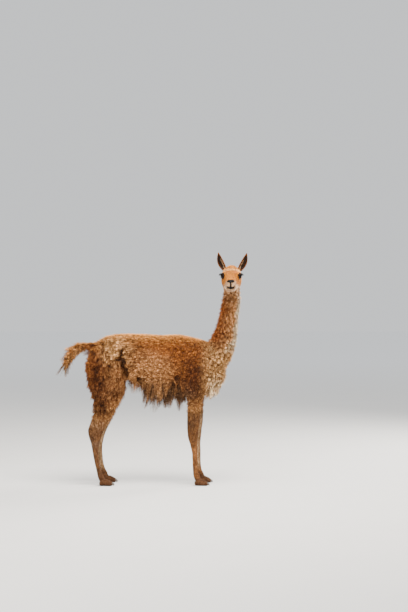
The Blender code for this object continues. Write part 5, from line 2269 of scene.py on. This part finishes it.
WOOL_SET, SHORT_SET = (62000.0, 0.0026), (72000.0, 0.0022)
HEAD_SET, EAR_SET = (190000.0, 0.0014), (260000.0, 0.0013)
STRAND_GAP = 0.0015
ZONE_BORDERS = {"breast": (0.26, 9.0), "shoulder": (0.10, 0.26), "flank": (-0.10, 0.10),
                "haunch": (-9.0, -0.10)}
# Painted shade: how much the skin under the trunk's and neck's wool is dimmed.
SKIN_SHADE_UNDER_COAT = 0.40
BARE_EYE, BARE_AHEAD, BARE_NOSE = 0.0220, 0.165, (0.025, 0.0115)
STEM_HALF, STEM_HEIGHT, STEM_REACH = 0.0055, 1.212, 0.022


@dataclass
class Coat:
    """All tufts of the animal, in pieces that the export keeps whole."""

    skin: bpy.types.Object
    pieces: list[bpy.types.Object] = field(default_factory=list)

    def made(self) -> list[bpy.types.Object]:
        """Grow every piece.

        Returns:
            The pieces.
        """
        mesh = self.skin.data
        region = Growth(self.skin).keep()
        woolly = CoatFinish("wool").made()
        nursery = Fleece(woolly)
        nursery.build()
        wool = Tuft("wool_lock", 3, 1.60, 0.45, 4).made()
        hair = Tuft("short_hair", 2, 0.10, 0.40, 6).made()
        x, y = over_faces(mesh, region.x), over_faces(mesh, region.y)
        neck, head, ear = (over_faces(mesh, share) for share in
                           (region.neck, region.head, region.ear))
        leg = over_faces(mesh, region.leg + 0.25 * ripple(region.places, 0.02, 51) * region.leg)
        furred = (head <= 0.5) & (ear <= 0.4)
        wild = furred & (leg < 0.5)
        parted = over_faces(mesh, numbers(mesh, "parted"))
        zones = {"fleece_neck_right": (neck > 0.5) & (y < 0.004),
                 "fleece_neck_left": (neck > 0.5) & (y >= 0.004)}
        for word, sign in (("right", y < 0.0), ("left", y >= 0.0)):
            own = (neck <= 0.5) & sign
            for part, (start, end) in ZONE_BORDERS.items():
                zones[f"fleece_{part}_{word}"] = own & (x >= start) & (x < end)
        for number, (name, zone) in enumerate(zones.items()):
            density = wild * zone * np.clip(1.6 * parted, 0.06, 1.0)
            self.pieces.append(nursery.grow(name, self.skin, density, wool, *WOOL_SET,
                                            40 + number))
        low = over_faces(mesh, ramp(region.z, 0.004, 0.012))
        wide, high = BARE_NOSE
        bald = np.hypot(region.across / wide, (region.z - NOSE_HEIGHT) / high) < 1.0
        bald |= (np.abs(region.across) < STEM_HALF) & (np.abs(region.z - STEM_HEIGHT) < STEM_REACH)
        bald = (region.eye_distance() < BARE_EYE) | ((region.ahead > BARE_AHEAD) & bald)
        bald = over_faces(mesh, (bald & (region.head > 0.5)).astype(float)) > 0.3
        strip = furred & (leg >= 0.5)
        self.pieces.append(nursery.grow("hair_forelegs", self.skin, low * strip * (x > 0.0), hair,
                                        *SHORT_SET, 60))
        self.pieces.append(nursery.grow("hair_hindlegs", self.skin, low * strip * (x <= 0.0), hair,
                                        *SHORT_SET, 61))
        nursery.finish = CoatFinish("fine_hair", patchy=0.60, scale=150.0).made()
        self.pieces.append(nursery.grow("hair_head", self.skin, (head > 0.5) * (ear <= 0.4) * ~bald,
                                        hair, *HEAD_SET, 71))
        self.pieces.append(nursery.grow("hair_ears", self.skin, 1.0 * (ear > 0.4), hair,
                                        *EAR_SET, 73))
        nursery.finish = woolly
        strand = Tuft("strand", 5, 1.20, 0.50, 9).made()
        shade = numbers(mesh, "shade")
        for fringe in FRINGES:
            fringe.prepare(mesh, region)
            density = over_faces(mesh, fringe.zone(region) * numbers(mesh, "parted"))
            self.pieces.append(nursery.grow(fringe.name, self.skin, density, strand, fringe.most,
                                            STRAND_GAP, fringe.seed))
        # Painted shade: the skin under the wool of the trunk and neck is dimmed, as the wool shades
        # it.
        covered = np.clip(region.trunk + region.neck, 0.0, 1.0)
        attach(mesh, "shade", shade * (1.0 - SKIN_SHADE_UNDER_COAT * covered))
        for lock in (wool, hair, strand):
            discard(lock)
        return self.pieces


# Eyes, lashes and nails

@dataclass
class Eyes:
    """Two wet eyes, each with a low dome of cornea."""

    segments: int = 48
    dome: float = 0.0012
    dome_from: Span = (0.62, 0.95)
    iris_half: Span = (0.0145, 0.0095)
    iris_share: float = 0.62

    def made(self) -> list[bpy.types.Object]:
        """Build both eyes.

        Returns:
            The eyes, right first.
        """
        finish = EyeFinish().made()
        things = []
        for side in Side:
            look = HEAD.look(side)
            out, upwards = HEAD.lid_axes(side)
            centre = HEAD.eye_centre(side)
            clay = Clay()
            turn = look.to_track_quat("Z", "Y").to_matrix()
            clay.egg(centre, (HEAD.eye_radius - 0.0002,) * 3, turn, self.segments, 36)
            eye = clay.made(f"eyeball_{side.word}")
            places = places_of(eye.data)
            away = places - np.array(centre)
            facing = unit(away) @ np.array(look)
            bulge = ramp(facing, *self.dome_from) * self.dome
            put_places(eye.data, places + unit(away) * bulge[:, None])
            wide, high = self.iris_half
            flat = np.hypot(away @ np.array(out) / wide, away @ np.array(upwards) / high)
            rim = np.where(facing > 0.0, flat * self.iris_share, 1.0)
            attach(eye.data, "from_pupil", rim)
            eye.data.materials.append(finish)
            shade_smooth(eye.data)
            things.append(eye)
        return things


@dataclass
class Lashes:
    """Long dark lashes along both upper lids and short ones below, set by geometry nodes."""

    upper: int = 46
    lower: int = 18
    length: float = 0.0185
    thick: float = 0.0021
    dark: Colour = (0.006, 0.004, 0.003)
    pale: Colour = (0.022, 0.013, 0.009)
    first_angle: float = 12.0
    angle_reach: float = 150.0
    inset: float = 0.98
    lower_share: float = 0.45
    sockets: dict[str, str] = field(default_factory=dict)

    def tree(self) -> bpy.types.NodeTree:
        """Nodes that set a hair at each corner of a line.

        Returns:
            The tree.
        """
        tree = bpy.data.node_groups.new("Lashes", "GeometryNodeTree")
        self.sockets = declared(tree, {
            "Hair": ("Object", None), "Length": ("Float", None), "Thickness": ("Float", None),
            "Finish": ("Material", None)})
        board = Board(tree)
        entry = board.add("NodeGroupInput")
        points = board.add("GeometryNodeMeshToPoints", None, {0: board.out(entry, "Geometry")})
        long_by = board.out(entry, "Length") * board.chance(0.72, 1.12, 5) * board.named("long")
        stand = board.add("FunctionNodeAxesToRotation",
                          {"primary_axis": "Y", "secondary_axis": "Z"},
                          {0: board.named("way", "FLOAT_VECTOR"),
                           1: board.named("back", "FLOAT_VECTOR")})
        hair = board.out(entry, "Hair")
        real = board.copied(points, hair, stand, board.out(entry, "Thickness"), long_by)
        board.finished(real, entry)
        return tree

    def line(self, side: Side) -> bpy.types.Object:
        """The roots of one eye's lashes.

        Args:
            side: Which eye.

        Returns:
            Loose corners that hold the way, the back and the length of each lash.
        """
        look = HEAD.look(side)
        out, upwards = HEAD.lid_axes(side)
        if out.x * side.value < 0.0:
            out = -out
        wide, high = HEAD.lid_open
        roots, ways, backs, long_by = [], [], [], []
        for count, sign, reach in ((self.upper, 1.0, 1.0),
                                   (self.lower, -1.0, self.lower_share)):
            for step in range(count):
                share = step / (count - 1)
                angle = math.radians(self.first_angle + self.angle_reach * share)
                aside, rise = math.cos(angle), math.sin(angle) * sign
                flat = (out * aside * wide * self.inset
                        + upwards * rise * high * self.inset)
                deep = math.sqrt(max((HEAD.eye_radius + 0.0012) ** 2 - flat.length_squared, 0.0))
                roots.append(HEAD.eye_centre(side) + flat + look * deep)
                way = look * 0.75 + out * (0.35 + 0.75 * aside) + upwards * rise * 0.40
                ways.append(way.normalized())
                backs.append(upwards * -sign)
                long_by.append(reach * (0.60 + 0.40 * aside))
        mesh = bpy.data.meshes.new("lash_line")
        mesh.from_pydata([tuple(root) for root in roots], [], [])
        attach(mesh, "way", np.array([tuple(way) for way in ways]))
        attach(mesh, "back", np.array([tuple(back) for back in backs]))
        attach(mesh, "long", np.array(long_by))
        return shown(f"lashes_{side.word}", mesh)

    def made(self) -> list[bpy.types.Object]:
        """Build the lashes of both eyes.

        Returns:
            One object for each eye.
        """
        dark, board, shader = material("lash")
        colour = board.mix(opaque(self.dark), opaque(self.pale), board.noise(board.spot(), 400.0))
        board.feed(shader, {"Base Color": colour, "Roughness": 0.45})
        hair = Tuft("lash_hair", 4, 0.0, 0.9, 2).made()
        tree = self.tree()
        values = {"Hair": hair, "Length": self.length, "Thickness": self.thick, "Finish": dark}
        things = [grown(self.line(side), tree, self.sockets, values) for side in Side]
        discard(hair)
        return things


@dataclass
class Nails:
    """A blunt nail on each toe."""

    sides: int = 24

    def made(self) -> dict[str, bpy.types.Object]:
        """Build all nails.

        Returns:
            Each nail by the name of the node that it stands for.
        """
        finish = NailFinish().made()
        things = {}
        for name, _, foot_x, foot_y in BODY.feet():
            for toe in Side:
                clay = Clay()
                clay.tube(toe_rings(BODY.nail, foot_x, foot_y, toe, self.sides, 5))
                nail = clay.made(f"nail_{name}_{toe.word}")
                places = places_of(nail.data)
                places[:, 2] = np.maximum(places[:, 2], NAIL_CLEAR)
                put_places(nail.data, places)
                nail.data.materials.append(finish)
                shade_smooth(nail.data)
                things[f"{name}_nail_{toe.word}"] = nail
        return things


# Floor, light and camera

@dataclass
class Studio:
    """A pale floor, soft light and the camera at the photograph's place."""

    shift: Vector
    lens: float = 85.0
    camera_place: tuple[float, float, float] = (0.3294, -8.8145, 1.2018)
    camera_tilt: float = math.radians(90.0 - 0.7533)
    sensor: float = 36.0
    floor_size: float = 60.0
    sky: Colour = (0.92, 0.94, 0.96)
    sky_strength: float = 0.95
    lamps: tuple[tuple, ...] = (
        ("over", (0.6, -1.3, 4.0), (0.0, 0.0, 0.7), 2.4, 380.0, (1.0, 0.96, 0.90)),
        ("front", (-1.8, -5.0, 2.4), (0.0, 0.0, 0.75), 2.4, 170.0, (1.0, 0.97, 0.93)),
        ("rim", (3.0, 2.4, 2.6), (0.2, 0.0, 0.9), 1.8, 260.0, (1.0, 0.97, 0.92)))

    def light(self, name: str, place: Colour, aim: Colour, size: float, power: float,
              colour: Colour) -> None:
        """Add a soft light.

        Args:
            name: Its name.
            place: Where it hangs.
            aim: What it points at.
            size: Its width and height.
            power: Its power in watts.
            colour: Its colour.
        """
        lamp = bpy.data.lights.new(name, "AREA")
        lamp.shape = "SQUARE"
        lamp.size = size
        lamp.energy = power
        lamp.color = colour
        thing = shown(name, lamp)
        thing.location = place
        thing.rotation_euler = (Vector(aim) - Vector(place)).to_track_quat("-Z", "Y").to_euler()

    def made(self) -> None:
        """Set up floor, light and camera."""
        bpy.ops.mesh.primitive_plane_add(size=self.floor_size, location=(0.0, 0.0, 0.0))
        floor = bpy.context.object
        floor.name = "floor"
        floor.data.materials.append(FloorFinish().made())
        world = bpy.data.worlds.new("pale")
        bpy.context.scene.world = world
        world.use_nodes = True
        back = world.node_tree.nodes["Background"]
        back.inputs["Color"].default_value = opaque(self.sky)
        back.inputs["Strength"].default_value = self.sky_strength
        for lamp in self.lamps:
            self.light(*lamp)
        view = bpy.data.cameras.new("photo_view")
        view.lens = self.lens
        view.sensor_width = self.sensor
        view.sensor_fit = "AUTO"
        camera = shown("photo_view", view)
        camera.location = Vector(self.camera_place) + self.shift
        camera.rotation_euler = (self.camera_tilt, 0.0, 0.0)
        bpy.context.scene.camera = camera


def clear_start() -> None:
    """Remove what the file held before the frame came in."""
    kept = set(frame["nodes"].values()) | set(frame["bodies"].values())
    for thing in list(bpy.data.objects):
        if thing not in kept:
            bpy.data.objects.remove(thing)


def flesh_nodes() -> list[str]:
    """The names of the solids that the skin stands for."""
    return [name for name in sorted(frame["nodes"])
            if "nail" not in name and not name.startswith("eye_")]


def main() -> None:
    """Build the animal in order and report each piece."""
    clear_start()
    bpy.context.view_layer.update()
    eye_low, eye_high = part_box("eye_right")
    shift = (eye_low + eye_high) / 2.0 - HEAD.eye_centre(Side.RIGHT)
    skin = Skin().made(Markings(), SkinFinish())
    logger.info("skin: %d faces", len(skin.data.polygons))
    coat = Coat(skin).made()
    for piece in coat:
        logger.info("%s: %d faces", piece.name, len(piece.data.polygons))
    for name in GROWTH:
        skin.data.attributes.remove(skin.data.attributes[name])
    eyes = Eyes().made()
    lashes = Lashes().made()
    nails = Nails().made()
    place_all([skin, *coat, *eyes, *lashes, *nails.values()], shift)
    for thing, kind in ((skin, "coat"), *((piece, "coat") for piece in coat)):
        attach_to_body(thing, "root")
    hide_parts(*flesh_nodes())
    for side, eye, lash in zip(Side, eyes, lashes):
        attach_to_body(eye, "root")
        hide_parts(f"eye_{side.word}")
        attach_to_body(lash, "root")
    for node, nail in nails.items():
        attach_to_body(nail, "root")
        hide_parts(node)
    Studio(shift).made()
    logger.info("done")


if __name__ == "__main__":
    logging.basicConfig(level=logging.INFO, format="%(message)s")
    main()
